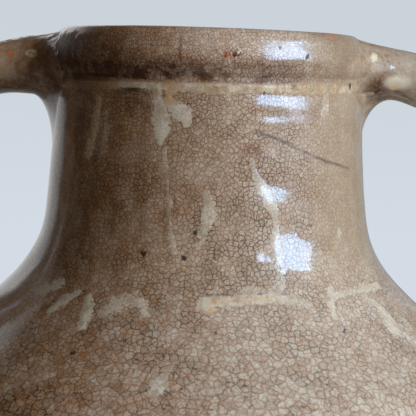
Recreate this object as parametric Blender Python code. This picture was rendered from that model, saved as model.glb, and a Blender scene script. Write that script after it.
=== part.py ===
"""Two-handled jug with a wide neck: thrown sections luted together, handles and trailed slip.

Lengths are in metres and +Z is up. The origin is the middle of the foot ring's underside.
The handles stand on the X axis, and the front of the jug looks along -Y.
"""

import math

import bmesh
import bpy
from mathutils import Vector
from mathutils.geometry import interpolate_bezier

# Heights of the thrown body. The neck's height runs from its root to the top of the lip.
FOOT_HEIGHT = 0.012
BELLY_HEIGHT = 0.142
BODY_HEIGHT = 0.268
NECK_HEIGHT = 0.062
RIM_DEPTH = 0.0172

# Radii of the outer surface. The neck opens by its flare from under the rim to its root.
FOOT_RADIUS = 0.066
BELLY_RADIUS = 0.123
NECK_RADIUS = 0.0578
NECK_FLARE = 0.0031

# Where the swelling shoulder turns into the hollow sweep up to the neck
TURN_HEIGHT_SHARE = 0.57
TURN_RADIUS_SHARE = 0.60

# Slopes of the outline on its way up, in degrees from outward level
LEVEL_OUT = 0
UPRIGHT = 90
LEVEL_IN = 180
FOOT_SLOPE = 48
TURN_SLOPE = 144
NECK_ROOT_SLOPE = 96
NECK_TOP_SLOPE = 92

# How far each stretch of the outline keeps its end slopes, as shares of the stretch
LOWER_REACH_SHARES = (0.30, 0.42)
SWELL_REACH_SHARES = (0.42, 0.30)
SWEEP_REACH_SHARES = (0.67, 0.23)
NECK_REACH_SHARES = (0.30, 0.30)

# Clay thicknesses
WALL = 0.0065
FLOOR = 0.009
FLOOR_ROUND = 0.014
FLOOR_ROUND_WIDTH = 0.028
LIP_WALL = 0.0050

# Rim band: how far it swells past the neck, and how far its lip draws in again
RIM_SWELL = 0.0014
LIP_TAPER = 0.0036
LIP_ROUND = 0.0011
RIM_SWELL_SHARE = 0.30
RIM_UNDER_SLOPE = 28
RIM_LEAN = 118
RIM_REACH_SHARES = (0.35, 0.35)
ROUND_REACH_SHARES = (0.42, 0.42)

# Foot ring
FOOT_WALL = 0.0125
FOOT_STEP = 0.0022
FOOT_BEVEL = 0.0016
FOOT_DRAFT = 0.0020

# Luted joints: a ridge on the lower section stands in a groove of the upper one
JOINT_GAP = 0.0003
RIDGE_HEIGHT = 0.0035
RIDGE_ROOT_SHARE = 0.46
RIDGE_TIP_SHARE = 0.26

# Pulled handles: an oval roll from the rim band, out and down to the shoulder
HANDLE_THICKNESS = 0.0200
HANDLE_WIDTH = 0.0260
FINGER_GAP = 0.0350
HANDLE_DROP = 0.0138
ROOT_SPREAD = 0.0068
ROOT_SPREAD_LENGTH = 0.0140
SEAT_SPREAD = 0.0050
SEAT_SPREAD_LENGTH = 0.0160
SPREAD_SINK_SHARE = 0.5
BEND_HEIGHT_SHARE = 0.57
SEAT_RUN_SHARE = 0.07
SEAT_INSET_SHARE = 0.6
ROOT_INSET_SHARE = 0.6
ROOT_SLOPE = -1
SEAT_SLOPE = -101
UPPER_BEND_SHARES = (0.60, 0.52)
LOWER_BEND_SHARES = (0.35, 0.35)

# Trailed slip: raised lines that follow the glazed surface
SLIP_GAP = 0.0003
SLIP_RELIEF = 0.0007
LINE_WIDTH = 0.0042
LINE_DROP = 0.0038
TRAIL_WIDTH = 0.0038
STROKE_WIDTH = 0.0046
SLIP_STEP = 0.0045
CREST_WIDTH_SHARE = 0.62
CREST_RELIEF_SHARE = 0.8
TIP_WIDTH_SHARE = 0.55
TIP_RELIEF_SHARE = 0.6

# Places of the slip marks: degrees round from the middle of the side they are on, and a level
# that is 0 under the rim band, 1 at the neck's root and 2 where the shoulder turns. Each mark
# ends with the share of its usual width.
FRONT_TRAIL_SHARES = (
    (((-41.0, 0.150), (-42.0, 0.390), (-43.5, 0.640)), 1.20),
    (((-16.2, 0.150), (-16.4, 0.270), (-14.6, 0.480)), 1.10),
    (((-9.3, 0.175), (-6.2, 0.340)), 1.35),
    (((-13.6, 0.560), (-11.4, 1.030), (-9.8, 1.200)), 0.42),
    (((1.8, 0.900), (1.0, 1.030), (-0.3, 1.150)), 1.10),
    (((15.0, 0.400), (16.5, 0.660), (20.6, 0.920), (22.9, 1.120), (23.3, 1.300)), 0.70),
    (((44.7, 0.160), (43.6, 0.270)), 0.75),
)
FRONT_STROKE_SHARES = (
    (((0.0, 1.467), (13.0, 1.438), (28.0, 1.450)), 1.00),
    (((34.9, 1.590), (35.4, 1.500), (39.0, 1.460), (53.5, 1.444), (64.0, 1.440)), 0.90),
    (((56.5, 1.525), (55.4, 1.620), (54.3, 1.720)), 1.35),
    (((-52.3, 1.520), (-48.3, 1.480), (-45.3, 1.450)), 0.90),
    (((-42.3, 1.600), (-41.6, 1.550), (-38.5, 1.510), (-35.0, 1.490)), 0.90),
    (((-31.8, 1.500), (-31.3, 1.560), (-30.6, 1.650)), 1.10),
    (((-25.5, 1.570), (-23.2, 1.525), (-18.8, 1.430)), 0.90),
    (((-15.6, 1.480), (-14.8, 1.550)), 0.85),
    (((-7.6, 1.850), (-7.1, 1.990)), 0.90),
)
BACK_TRAIL_SHARES = (
    (((-38.0, 0.150), (-37.0, 0.600)), 1.10),
    (((-12.0, 0.150), (-13.5, 0.950)), 0.80),
    (((17.0, 0.175), (18.0, 0.400)), 1.35),
    (((43.0, 0.150), (42.0, 0.900), (41.0, 1.150)), 0.70),
)
BACK_STROKE_SHARES = (
    (((-54.0, 1.470), (-34.0, 1.450)), 1.00),
    (((-24.0, 1.620), (-23.0, 1.500), (-19.0, 1.460), (-4.0, 1.445)), 0.95),
    (((4.0, 1.500), (7.0, 1.680)), 1.20),
    (((18.0, 1.460), (40.0, 1.450)), 1.00),
    (((52.0, 1.490), (54.0, 1.680)), 1.15),
)

# Smoothness of the turned and swept surfaces
TURN_STEPS = 40
LOWER_STEPS = 7
SWELL_STEPS = 5
SWEEP_STEPS = 10
NECK_STEPS = 3
ROUND_STEPS = 3
HANDLE_STEPS = 22
HANDLE_SIDES = 16
MERGE_DISTANCE = 0.00001

# Glaze, slip and bare clay
GLAZE_COLOUR = (0.40, 0.31, 0.21, 1.0)
STAINED_COLOUR = (0.24, 0.17, 0.11, 1.0)
SLIP_COLOUR = (0.72, 0.66, 0.48, 1.0)
CLAY_COLOUR = (0.46, 0.33, 0.22, 1.0)
GLAZE_ROUGHNESS = 0.22
CLAY_ROUGHNESS = 0.75

# Places worked out from the sizes above
JUG_HEIGHT = BODY_HEIGHT + NECK_HEIGHT
RIM_BASE = JUG_HEIGHT - RIM_DEPTH
NECK_ROOT_RADIUS = NECK_RADIUS + NECK_FLARE
TURN_HEIGHT = BELLY_HEIGHT + TURN_HEIGHT_SHARE * (BODY_HEIGHT - BELLY_HEIGHT)
TURN_RADIUS = NECK_ROOT_RADIUS + TURN_RADIUS_SHARE * (BELLY_RADIUS - NECK_ROOT_RADIUS)
BODY_BASE = FOOT_HEIGHT + JOINT_GAP


def clear_scene():
    """Remove what the file opens with."""
    for old in list(bpy.data.objects):
        bpy.data.objects.remove(old, do_unlink=True)


def material(name, colour, roughness):
    """A plain finish of one colour."""
    finish = bpy.data.materials.new(name)
    finish.use_nodes = True
    shader = finish.node_tree.nodes["Principled BSDF"]
    shader.inputs["Base Color"].default_value = colour
    shader.inputs["Roughness"].default_value = roughness
    shader.inputs["Metallic"].default_value = 0.0
    finish.diffuse_color = colour
    return finish


def add_object(name, mesh, colour, roughness):
    """Put a mesh in the scene as a named piece with its own finish."""
    piece = bpy.data.objects.new(name, mesh)
    bpy.context.scene.collection.objects.link(piece)
    mesh.materials.append(material(name + "_finish", colour, roughness))
    return piece


def heading(slope):
    """Direction in the profile's plane, in degrees up from outward level."""
    return Vector((math.cos(math.radians(slope)), 0.0, math.sin(math.radians(slope))))


def sweep(start, start_way, end, end_way, shares, steps):
    """Smooth curve in the profile's plane that leaves and arrives along given directions."""
    reach = (end - start).length
    leave = start + shares[0] * reach * start_way
    arrive = end - shares[1] * reach * end_way
    return interpolate_bezier(start, leave, arrive, end, steps + 1)


def spot(radius, height):
    """Point of a profile."""
    return Vector((radius, 0.0, height))


def body_outline():
    """Outer line of the thrown body, from the foot up to the underside of the rim band."""
    foot = spot(FOOT_RADIUS - FOOT_STEP, BODY_BASE)
    belly = spot(BELLY_RADIUS, BELLY_HEIGHT)
    turn = spot(TURN_RADIUS, TURN_HEIGHT)
    root = spot(NECK_ROOT_RADIUS, BODY_HEIGHT)
    top = spot(NECK_RADIUS, RIM_BASE)
    upright = heading(UPRIGHT)
    turning = heading(TURN_SLOPE)
    rooted = heading(NECK_ROOT_SLOPE)
    line = sweep(foot, heading(FOOT_SLOPE), belly, upright, LOWER_REACH_SHARES, LOWER_STEPS)
    line += sweep(belly, upright, turn, turning, SWELL_REACH_SHARES, SWELL_STEPS)[1:]
    line += sweep(turn, turning, root, rooted, SWEEP_REACH_SHARES, SWEEP_STEPS)[1:]
    line += sweep(root, rooted, top, heading(NECK_TOP_SLOPE), NECK_REACH_SHARES, NECK_STEPS)[1:]
    return line


def rim_outline():
    """Outer line of the rim band, from its underside up to the crest of the lip."""
    base = RIM_BASE + JOINT_GAP
    under = spot(NECK_RADIUS, base)
    swell = spot(NECK_RADIUS + RIM_SWELL, base + RIM_SWELL_SHARE * RIM_DEPTH)
    corner = spot(NECK_RADIUS + RIM_SWELL - LIP_TAPER, JUG_HEIGHT - LIP_ROUND)
    crest = spot(corner.x - LIP_WALL / 2, JUG_HEIGHT)
    upright = heading(UPRIGHT)
    leaning = heading(RIM_LEAN)
    under_way = heading(RIM_UNDER_SLOPE)
    line = sweep(under, under_way, swell, upright, ROUND_REACH_SHARES, ROUND_STEPS)
    line += sweep(swell, upright, corner, leaning, RIM_REACH_SHARES, ROUND_STEPS + 1)[1:]
    line += sweep(corner, leaning, crest, heading(LEVEL_IN), ROUND_REACH_SHARES, ROUND_STEPS)[1:]
    return line


def outward(line, index):
    """Unit normal of a rising line, on the side away from the jug's axis."""
    before = line[max(index - 1, 0)]
    after = line[min(index + 1, len(line) - 1)]
    along = (after - before).normalized()
    return Vector((along.z, 0.0, -along.x))


def offset(line, distance):
    """Line at a distance outside another one, or inside it if the distance is negative."""
    return [point + distance * outward(line, index) for index, point in enumerate(line)]


def at_height(line, height):
    """Point where a rising line reaches a height."""
    for below, above in zip(line, line[1:]):
        if height <= above.z:
            break
    share = (height - below.z) / (above.z - below.z)
    return below.lerp(above, share)


def between(line, low, high):
    """Stretch of a rising line between two heights."""
    inside = [point for point in line if low < point.z < high]
    return [at_height(line, low)] + inside + [at_height(line, high)]


def ridge(outer, inner, clearance):
    """Edge of a section from its outer face to its inner one, with the joint's ridge.

    With a clearance it is the groove of the section above, grown by it on every side.
    """
    wall = outer.x - inner.x
    middle = (outer.x + inner.x) / 2
    root = RIDGE_ROOT_SHARE * wall / 2 + clearance
    tip = RIDGE_TIP_SHARE * wall / 2 + clearance
    top = outer.z + RIDGE_HEIGHT
    return [
        spot(middle + root, outer.z),
        spot(middle + tip, top),
        spot(middle - tip, top),
        spot(middle - root, inner.z),
    ]


def turned(name, profile, closed, colour, roughness):
    """Piece turned round the jug's axis from a profile that runs down its outer side."""
    mesh = bpy.data.meshes.new(name)
    edges = [(index, index + 1) for index in range(len(profile) - 1)]
    if closed:
        edges.append((len(profile) - 1, 0))
    mesh.from_pydata(profile, edges, [])
    piece = add_object(name, mesh, colour, roughness)
    turning = piece.modifiers.new("turning", "SCREW")
    turning.axis = "Z"
    turning.steps = TURN_STEPS
    turning.render_steps = TURN_STEPS
    turning.use_smooth_shade = True
    turning.use_merge_vertices = True
    turning.merge_threshold = MERGE_DISTANCE
    return piece


def thrown_section(name, low, high):
    """Ring of the wall between two luted joints, with a groove below and a ridge on top."""
    outer = body_outline()
    inner = offset(outer, -WALL)
    base = low + JOINT_GAP
    outside = between(outer, base, high)
    inside = between(inner, base, high)
    groove = ridge(outside[0], inside[0], JOINT_GAP)
    crown = ridge(outside[-1], inside[-1], 0.0)
    profile = outside[::-1] + groove + inside + crown[::-1]
    return turned(name, profile, True, GLAZE_COLOUR, GLAZE_ROUGHNESS)


def make_lower_body():
    """Thrown bowl with the jug's floor, from the foot ring up to the joint at the belly."""
    outer = body_outline()
    inner = offset(outer, -WALL)
    floor_top = BODY_BASE + FLOOR
    outside = between(outer, BODY_BASE, BELLY_HEIGHT)
    inside = between(inner, floor_top + FLOOR_ROUND, BELLY_HEIGHT)
    bend = spot(inside[0].x - FLOOR_ROUND_WIDTH, floor_top)
    rising = (inside[1] - inside[0]).normalized()
    level = heading(LEVEL_OUT)
    rounding = sweep(bend, level, inside[0], rising, ROUND_REACH_SHARES, ROUND_STEPS)
    crown = ridge(outside[-1], inside[-1], 0.0)
    seat = ridge(foot_seat_outer(BODY_BASE), foot_seat_inner(BODY_BASE), JOINT_GAP)
    profile = [spot(0.0, floor_top)] + rounding[:-1] + inside + crown[::-1]
    profile += outside[::-1] + seat + [spot(0.0, BODY_BASE)]
    return turned("lower_body", profile, False, GLAZE_COLOUR, GLAZE_ROUGHNESS)


def foot_seat_outer(height):
    """Outer edge of the face where the foot ring meets the floor."""
    return spot(FOOT_RADIUS - FOOT_STEP, height)


def foot_seat_inner(height):
    """Inner edge of the face where the foot ring meets the floor."""
    return spot(FOOT_RADIUS - FOOT_STEP - FOOT_WALL, height)


def make_foot_ring():
    """Foot ring luted under the floor, with a flat tread and bevelled edges."""
    outer = foot_seat_outer(FOOT_HEIGHT)
    inner = foot_seat_inner(FOOT_HEIGHT)
    tread_inner = inner.x + FOOT_DRAFT
    profile = [
        outer,
        spot(FOOT_RADIUS, FOOT_HEIGHT - FOOT_STEP),
        spot(FOOT_RADIUS, FOOT_BEVEL),
        spot(FOOT_RADIUS - FOOT_BEVEL, 0.0),
        spot(tread_inner + FOOT_BEVEL, 0.0),
        spot(tread_inner, FOOT_BEVEL),
        inner,
    ]
    profile += ridge(outer, inner, 0.0)[::-1]
    return turned("foot_ring", profile, True, CLAY_COLOUR, CLAY_ROUGHNESS)


def make_rim_band():
    """Thick band of the rim, which sits on the neck and ends in a rounded lip."""
    outside = rim_outline()
    base = outside[0].z
    inner_base = spot(at_height(offset(body_outline(), -WALL), RIM_BASE).x, base)
    crest = outside[-1]
    lip_inner = spot(crest.x - LIP_WALL / 2, JUG_HEIGHT - LIP_ROUND)
    outwards = heading(LEVEL_OUT)
    rounding = sweep(
        lip_inner, heading(UPRIGHT), crest, outwards, ROUND_REACH_SHARES, ROUND_STEPS
    )
    groove = ridge(outside[0], inner_base, JOINT_GAP)
    profile = outside[::-1] + groove + [inner_base] + rounding[:-1]
    return turned("rim_band", profile, True, STAINED_COLOUR, GLAZE_ROUGHNESS)


def seat_cutter():
    """The jug's outer form grown by the joint gap, which shapes the ends of the handles."""
    line = body_outline()[:-1] + rim_outline()
    grown = offset(line, JOINT_GAP)
    grown[0].z = line[0].z
    grown[-1] = spot(grown[-1].x, JUG_HEIGHT + JOINT_GAP)
    profile = [spot(0.0, grown[-1].z)] + grown[::-1] + [spot(0.0, grown[0].z)]
    cutter = turned("seat_cutter", profile, False, CLAY_COLOUR, CLAY_ROUGHNESS)
    cutter.hide_render = True
    cutter.display_type = "WIRE"
    return cutter


def run_lengths(line):
    """Distance along a line at each of its points."""
    lengths = [0.0]
    for before, after in zip(line, line[1:]):
        lengths.append(lengths[-1] + (after - before).length)
    return lengths


def at_run(line, run):
    """Point and outward normal at a distance along a falling line."""
    lengths = run_lengths(line)
    index = 1
    while index < len(line) - 1 and lengths[index] < run:
        index += 1
    before = line[index - 1]
    after = line[index]
    share = (run - lengths[index - 1]) / (lengths[index] - lengths[index - 1])
    along = (before - after).normalized()
    return before.lerp(after, share), Vector((along.z, 0.0, -along.x))


def falling_outline():
    """Outer line from the rim band's underside down to the foot."""
    return body_outline()[::-1]


def run_to_height(height):
    """Distance down the outer line from the rim band to a height."""
    line = falling_outline()
    lengths = run_lengths(line)
    for index in range(1, len(line)):
        if line[index].z <= height:
            break
    share = (line[index - 1].z - height) / (line[index - 1].z - line[index].z)
    return lengths[index - 1] + share * (lengths[index] - lengths[index - 1])


def handle_line():
    """Middle line of a handle in the profile's plane, from inside the rim to the shoulder."""
    swelling = run_to_height(BELLY_HEIGHT) - run_to_height(TURN_HEIGHT)
    seat_run = run_to_height(TURN_HEIGHT) + SEAT_RUN_SHARE * swelling
    seat, normal = at_run(falling_outline(), seat_run)
    seat = seat - SEAT_INSET_SHARE * HANDLE_THICKNESS * normal
    root = spot(NECK_RADIUS - ROOT_INSET_SHARE * WALL, JUG_HEIGHT - HANDLE_DROP)
    bend_height = seat.z + BEND_HEIGHT_SHARE * (root.z - seat.z)
    bend = spot(NECK_ROOT_RADIUS + FINGER_GAP + HANDLE_THICKNESS / 2, bend_height)
    down = heading(-UPRIGHT)
    leave = heading(ROOT_SLOPE)
    arrive = heading(SEAT_SLOPE)
    line = sweep(root, leave, bend, down, UPPER_BEND_SHARES, HANDLE_STEPS)
    line += sweep(bend, down, seat, arrive, LOWER_BEND_SHARES, HANDLE_STEPS)[1:]
    length = run_lengths(line)[-1]
    return [at_run(line, length * step / HANDLE_STEPS)[0] for step in range(HANDLE_STEPS + 1)]


def spread(distance, most, length):
    """How far a handle's clay spreads near a joint, at a distance from it."""
    return most * max(0.0, 1.0 - max(distance, 0.0) / length) ** 2


def handle_rings(side):
    """Oval sections of a handle, square to its middle line."""
    line = handle_line()
    lengths = run_lengths(line)
    buried = ROOT_INSET_SHARE * WALL
    buried_seat = SEAT_INSET_SHARE * HANDLE_THICKNESS
    rings = []
    for index, centre in enumerate(line):
        up = outward(line, index) * -1.0
        at_root = spread(lengths[index] - buried, ROOT_SPREAD, ROOT_SPREAD_LENGTH)
        left = lengths[-1] - lengths[index] - buried_seat
        at_seat = spread(left, SEAT_SPREAD, SEAT_SPREAD_LENGTH)
        middle = centre - SPREAD_SINK_SHARE * at_root * up
        thick = HANDLE_THICKNESS / 2 + at_root + at_seat
        wide = HANDLE_WIDTH / 2 + SPREAD_SINK_SHARE * at_root + at_seat
        ring = []
        for step in range(HANDLE_SIDES):
            angle = 2 * math.pi * step / HANDLE_SIDES
            point = middle + thick * math.cos(angle) * up
            ring.append(Vector((side * point.x, wide * math.sin(angle), point.z)))
        rings.append(ring)
    return rings


def skinned(name, rings, colour, roughness):
    """Closed piece over a row of rings that hold as many points each."""
    mesh_builder = bmesh.new()
    rows = [[mesh_builder.verts.new(point) for point in ring] for ring in rings]
    count = len(rows[0])
    for row, following in zip(rows, rows[1:]):
        for index in range(count):
            after = (index + 1) % count
            mesh_builder.faces.new((row[index], row[after], following[after], following[index]))
    mesh_builder.faces.new(rows[0][::-1])
    mesh_builder.faces.new(rows[-1])
    bmesh.ops.recalc_face_normals(mesh_builder, faces=mesh_builder.faces)
    mesh = bpy.data.meshes.new(name)
    mesh_builder.to_mesh(mesh)
    mesh_builder.free()
    mesh.shade_smooth()
    return add_object(name, mesh, colour, roughness)


def make_handle(name, side, cutter):
    """Pulled handle whose ends are shaped to the rim band, the neck and the shoulder."""
    handle = skinned(name, handle_rings(side), GLAZE_COLOUR, GLAZE_ROUGHNESS)
    saddle = handle.modifiers.new("saddle", "BOOLEAN")
    saddle.operation = "DIFFERENCE"
    saddle.object = cutter
    return handle


def on_surface(turn, run, lift):
    """Point over the outer surface: radians round from the front, run down from the rim."""
    point, normal = at_run(falling_outline(), run)
    point = point + lift * normal
    return Vector((point.x * math.sin(turn), -point.x * math.cos(turn), point.z))


def slip_ring(place, aim, width_share, relief_share, width):
    """Section of a slip line: flat under the crest and drawn down to its edges."""
    turn, run = place
    radius = at_run(falling_outline(), run)[0].x
    half = width_share * width / 2
    crest = SLIP_GAP + relief_share * SLIP_RELIEF
    shoulder = SLIP_GAP + CREST_RELIEF_SHARE * relief_share * SLIP_RELIEF
    ring = []
    for across_share, lift in (
        (-1.0, SLIP_GAP),
        (-CREST_WIDTH_SHARE, shoulder),
        (0.0, crest),
        (CREST_WIDTH_SHARE, shoulder),
        (1.0, SLIP_GAP),
    ):
        across = across_share * half
        ring.append(on_surface(turn + across * aim[1] / radius, run - across * aim[0], lift))
    return ring


def refined(places):
    """Path over the surface with points about one slip step apart."""
    path = [places[0]]
    for start, end in zip(places, places[1:]):
        radius = at_run(falling_outline(), start[1])[0].x
        reach = math.hypot(radius * (end[0] - start[0]), end[1] - start[1])
        steps = max(1, round(reach / SLIP_STEP))
        for step in range(1, steps + 1):
            share = step / steps
            turn = start[0] + share * (end[0] - start[0])
            path.append((turn, start[1] + share * (end[1] - start[1])))
    return path


def slip_rings(places, width):
    """Sections of a slip line along a path, narrower and lower at both tips."""
    path = refined(places)
    rings = []
    for index, place in enumerate(path):
        before = path[max(index - 1, 0)]
        after = path[min(index + 1, len(path) - 1)]
        radius = at_run(falling_outline(), place[1])[0].x
        aim = Vector((radius * (after[0] - before[0]), after[1] - before[1])).normalized()
        at_tip = index in (0, len(path) - 1)
        width_share = TIP_WIDTH_SHARE if at_tip else 1.0
        relief_share = TIP_RELIEF_SHARE if at_tip else 1.0
        rings.append(slip_ring(place, aim, width_share, relief_share, width))
    return rings


def make_rim_line(name, facing):
    """Slip line under the rim band, from close by one handle to close by the other."""
    blocked = HANDLE_WIDTH / 2 + SPREAD_SINK_SHARE * ROOT_SPREAD + LINE_WIDTH
    half_turn = math.pi / 2 - math.asin(blocked / NECK_RADIUS)
    places = [(facing - half_turn, LINE_DROP), (facing + half_turn, LINE_DROP)]
    return skinned(name, slip_rings(places, LINE_WIDTH), SLIP_COLOUR, GLAZE_ROUGHNESS)


def level_run(level):
    """Run down from the rim band to a level of the neck and the sweep below it."""
    neck_run = run_to_height(BODY_HEIGHT)
    sweep_run = run_to_height(TURN_HEIGHT) - neck_run
    return neck_run * min(level, 1.0) + sweep_run * max(level - 1.0, 0.0)


def make_marks(name, facing, mark_shares, width):
    """Slip marks on one side of the jug, each a piece with its number."""
    for number, (points, width_share) in enumerate(mark_shares, 1):
        places = [(facing + math.radians(turn), level_run(level)) for turn, level in points]
        rings = slip_rings(places, width_share * width)
        skinned(f"{name}_{number}", rings, SLIP_COLOUR, GLAZE_ROUGHNESS)


def build_jug():
    """Make every piece of the jug, from the foot up."""
    clear_scene()
    make_foot_ring()
    make_lower_body()
    thrown_section("upper_body", BELLY_HEIGHT, BODY_HEIGHT)
    thrown_section("neck", BODY_HEIGHT, RIM_BASE)
    make_rim_band()
    cutter = seat_cutter()
    make_handle("handle_left", -1, cutter)
    make_handle("handle_right", 1, cutter)
    make_rim_line("rim_line_front", 0.0)
    make_rim_line("rim_line_back", math.pi)
    make_marks("neck_trail_front", 0.0, FRONT_TRAIL_SHARES, TRAIL_WIDTH)
    make_marks("neck_trail_back", math.pi, BACK_TRAIL_SHARES, TRAIL_WIDTH)
    make_marks("shoulder_stroke_front", 0.0, FRONT_STROKE_SHARES, STROKE_WIDTH)
    make_marks("shoulder_stroke_back", math.pi, BACK_STROKE_SHARES, STROKE_WIDTH)


build_jug()
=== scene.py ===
"""Looks of the two-handled crackle-glazed jug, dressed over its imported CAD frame.

Lengths are in metres and +Z is up. The front of the jug looks along -Y.
"""

import math
from types import SimpleNamespace

import bpy
import numpy as np
from mathutils import Matrix


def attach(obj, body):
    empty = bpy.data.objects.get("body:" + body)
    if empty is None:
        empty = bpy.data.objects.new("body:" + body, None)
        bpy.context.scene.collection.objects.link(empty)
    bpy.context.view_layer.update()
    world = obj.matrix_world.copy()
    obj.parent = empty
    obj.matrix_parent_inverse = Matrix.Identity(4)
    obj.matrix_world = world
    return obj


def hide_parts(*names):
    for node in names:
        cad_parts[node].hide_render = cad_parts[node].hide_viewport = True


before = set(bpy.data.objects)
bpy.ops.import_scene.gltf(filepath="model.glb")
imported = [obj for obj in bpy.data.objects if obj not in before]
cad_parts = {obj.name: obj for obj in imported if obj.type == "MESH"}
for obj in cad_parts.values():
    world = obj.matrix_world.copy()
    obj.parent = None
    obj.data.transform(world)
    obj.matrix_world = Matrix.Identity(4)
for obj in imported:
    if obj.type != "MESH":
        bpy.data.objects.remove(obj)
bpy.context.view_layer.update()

# Sizes repeated from the part's source
FOOT_HEIGHT, BELLY_HEIGHT, BODY_HEIGHT, NECK_HEIGHT = 0.012, 0.142, 0.268, 0.062
RIM_DEPTH, WALL, FLOOR, LIP_WALL = 0.0172, 0.0065, 0.009, 0.005
FOOT_RADIUS, BELLY_RADIUS, NECK_RADIUS, NECK_FLARE = 0.066, 0.123, 0.0578, 0.0031
JUG_HEIGHT = BODY_HEIGHT + NECK_HEIGHT
RIM_BASE = JUG_HEIGHT - RIM_DEPTH
ROOT_RADIUS = NECK_RADIUS + NECK_FLARE
TURN_HEIGHT = BELLY_HEIGHT + 0.57 * (BODY_HEIGHT - BELLY_HEIGHT)
TURN_RADIUS = ROOT_RADIUS + 0.6 * (BELLY_RADIUS - ROOT_RADIUS)
BODY_BASE = FOOT_HEIGHT + 0.0003
SWELL_RADIUS = NECK_RADIUS + 0.0014
CHAMFER, LIP_DROP, AXIS_HOLE = 0.0022, 0.0011, 0.0005
HANDLE_THICKNESS, HANDLE_WIDTH, FINGER_GAP = 0.02, 0.026, 0.035

# Heights where the thrown walls meet
JOINTS = (BELLY_HEIGHT, BODY_HEIGHT, RIM_BASE)

# Points round the jug and round a handle, spacing up each wall, and rows of a stretch of profile
AROUND, SIDES = 480, 120
STEPS = (0.0016, 0.001, 0.0007, 0.0007)
FINE = 40
# Length on a handle that stands for a radian of the craze, and the handle's mean radius
HANDLE_CRAZE, HANDLE_RADIUS = 0.06, 0.0115
# How far the map with its seam in front is moved aside
SEAM_SHIFT = 3.7

# Camera's place, its fall and roll in degrees, the height that lamps face, and the backdrop
CAMERA_PLACE = (0.00087, -0.44, 0.31442)
CAMERA_FALL, CAMERA_ROLL = 6.85, 1.45
LAMP_TARGET = 0.29
LIGHT_BACKDROP = (0.651, 0.708, 0.784, 1.0)
HIGH_BACKDROP = (0.597, 0.648, 0.701, 1.0)


def heading(slope):
    """Direction in the profile's plane, in degrees up from outward level."""
    return np.array([math.cos(math.radians(slope)), math.sin(math.radians(slope))])


def bezier(t, start, leave, arrive, end):
    """Points of a cubic stretch at shares t of it."""
    return (1 - t) ** 3 * start + 3 * (1 - t) ** 2 * t * leave + 3 * (1 - t) * t**2 * arrive + t**3 * end


def sweep(start, start_slope, end, end_slope, shares, steps=FINE):
    """Bezier stretch of a profile that leaves and arrives along given slopes."""
    start, end = np.array(start, float), np.array(end, float)
    reach = np.linalg.norm(end - start)
    leave = start + shares[0] * reach * heading(start_slope)
    arrive = end - shares[1] * reach * heading(end_slope)
    return bezier(np.linspace(0, 1, steps + 1)[:, None], start, leave, arrive, end)


def runs(line):
    """Distance along a polyline at each of its points."""
    return np.concatenate([[0], np.cumsum(np.linalg.norm(np.diff(line, axis=0), axis=1))])


def read(table, table_run, run):
    """Both columns of a table along a line, read at given distances along it."""
    return np.array([np.interp(run, table_run, table[:, k]) for k in (0, 1)])


def resampled(line, step):
    """Polyline with points an even step apart, ends kept."""
    along = runs(line)
    count = max(2, int(math.ceil(along[-1] / step)) + 1)
    return read(line, along, np.linspace(0, along[-1], count)).T


def unit(ways):
    """Rows of vectors brought to a length of one."""
    return ways / (np.linalg.norm(ways, axis=1)[:, None] + 1e-12)


def outward(line):
    """Unit normals to the right of a polyline's direction of travel."""
    way = unit(np.gradient(line, axis=0))
    return np.stack([way[:, 1], -way[:, 0]], -1)


def body_outline():
    """Outer line of the thrown body, from the foot up to the rim band."""
    foot = (FOOT_RADIUS - CHAMFER, BODY_BASE)
    belly = (BELLY_RADIUS, BELLY_HEIGHT)
    turn = (TURN_RADIUS, TURN_HEIGHT)
    root = (ROOT_RADIUS, BODY_HEIGHT)
    top = (NECK_RADIUS, RIM_BASE)
    lower = sweep(foot, 48, belly, 90, (0.3, 0.42), 4 * FINE)
    swell = sweep(belly, 90, turn, 144, (0.42, 0.3), 2 * FINE)
    hollow = sweep(turn, 144, root, 96, (0.67, 0.23), 3 * FINE)
    neck = sweep(root, 96, top, 92, (0.3, 0.3))
    return np.vstack([lower, swell[1:], hollow[1:], neck[1:]])


def rim_outline():
    """Outer line of the rim band, up to the crest of its lip."""
    swell = (SWELL_RADIUS, RIM_BASE + 0.3 * RIM_DEPTH)
    corner = (SWELL_RADIUS - 0.0036, JUG_HEIGHT - LIP_DROP)
    crest = (corner[0] - LIP_WALL / 2, JUG_HEIGHT)
    under = sweep((NECK_RADIUS, RIM_BASE), 60, swell, 90, (0.42, 0.42))
    side = sweep(swell, 90, corner, 118, (0.35, 0.35))
    lip = sweep(corner, 118, crest, 180, (0.42, 0.42))
    return np.vstack([under, side[1:], lip[1:]])


def inner_outline():
    """Inner line, from the crest of the lip down to the middle of the floor."""
    crest = rim_outline()[-1]
    lip_inner = (crest[0] - LIP_WALL / 2, JUG_HEIGHT - LIP_DROP)
    lip = sweep(crest, 180, lip_inner, 270, (0.42, 0.42))
    outer = body_outline()
    wall = (outer - WALL * outward(outer))[::-1]
    wall = wall[wall[:, 1] > BODY_BASE + FLOOR + 0.014]
    bend = (wall[-1][0] - 0.028, BODY_BASE + FLOOR)
    fall = np.degrees(np.arctan2(*(wall[-1] - wall[-6])[::-1]))
    floor = sweep(wall[-1], fall, bend, 180, (0.42, 0.42))
    middle = np.array([[AXIS_HOLE, BODY_BASE + FLOOR]])
    return np.vstack([lip, wall[2:], floor[1:], middle])


def cut_at(line, heights):
    """Stretches of a polyline between the places where it crosses given heights."""
    stretches, rest = [], line
    rising = line[-1, 1] > line[0, 1]
    for height in heights:
        past = np.argmax(rest[:, 1] > height if rising else rest[:, 1] < height)
        share = (height - rest[past - 1, 1]) / (rest[past, 1] - rest[past - 1, 1])
        spot = rest[past - 1] + share * (rest[past] - rest[past - 1])
        stretches.append(np.vstack([rest[:past], spot]))
        rest = np.vstack([spot, rest[past:]])
    return stretches + [rest]


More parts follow.
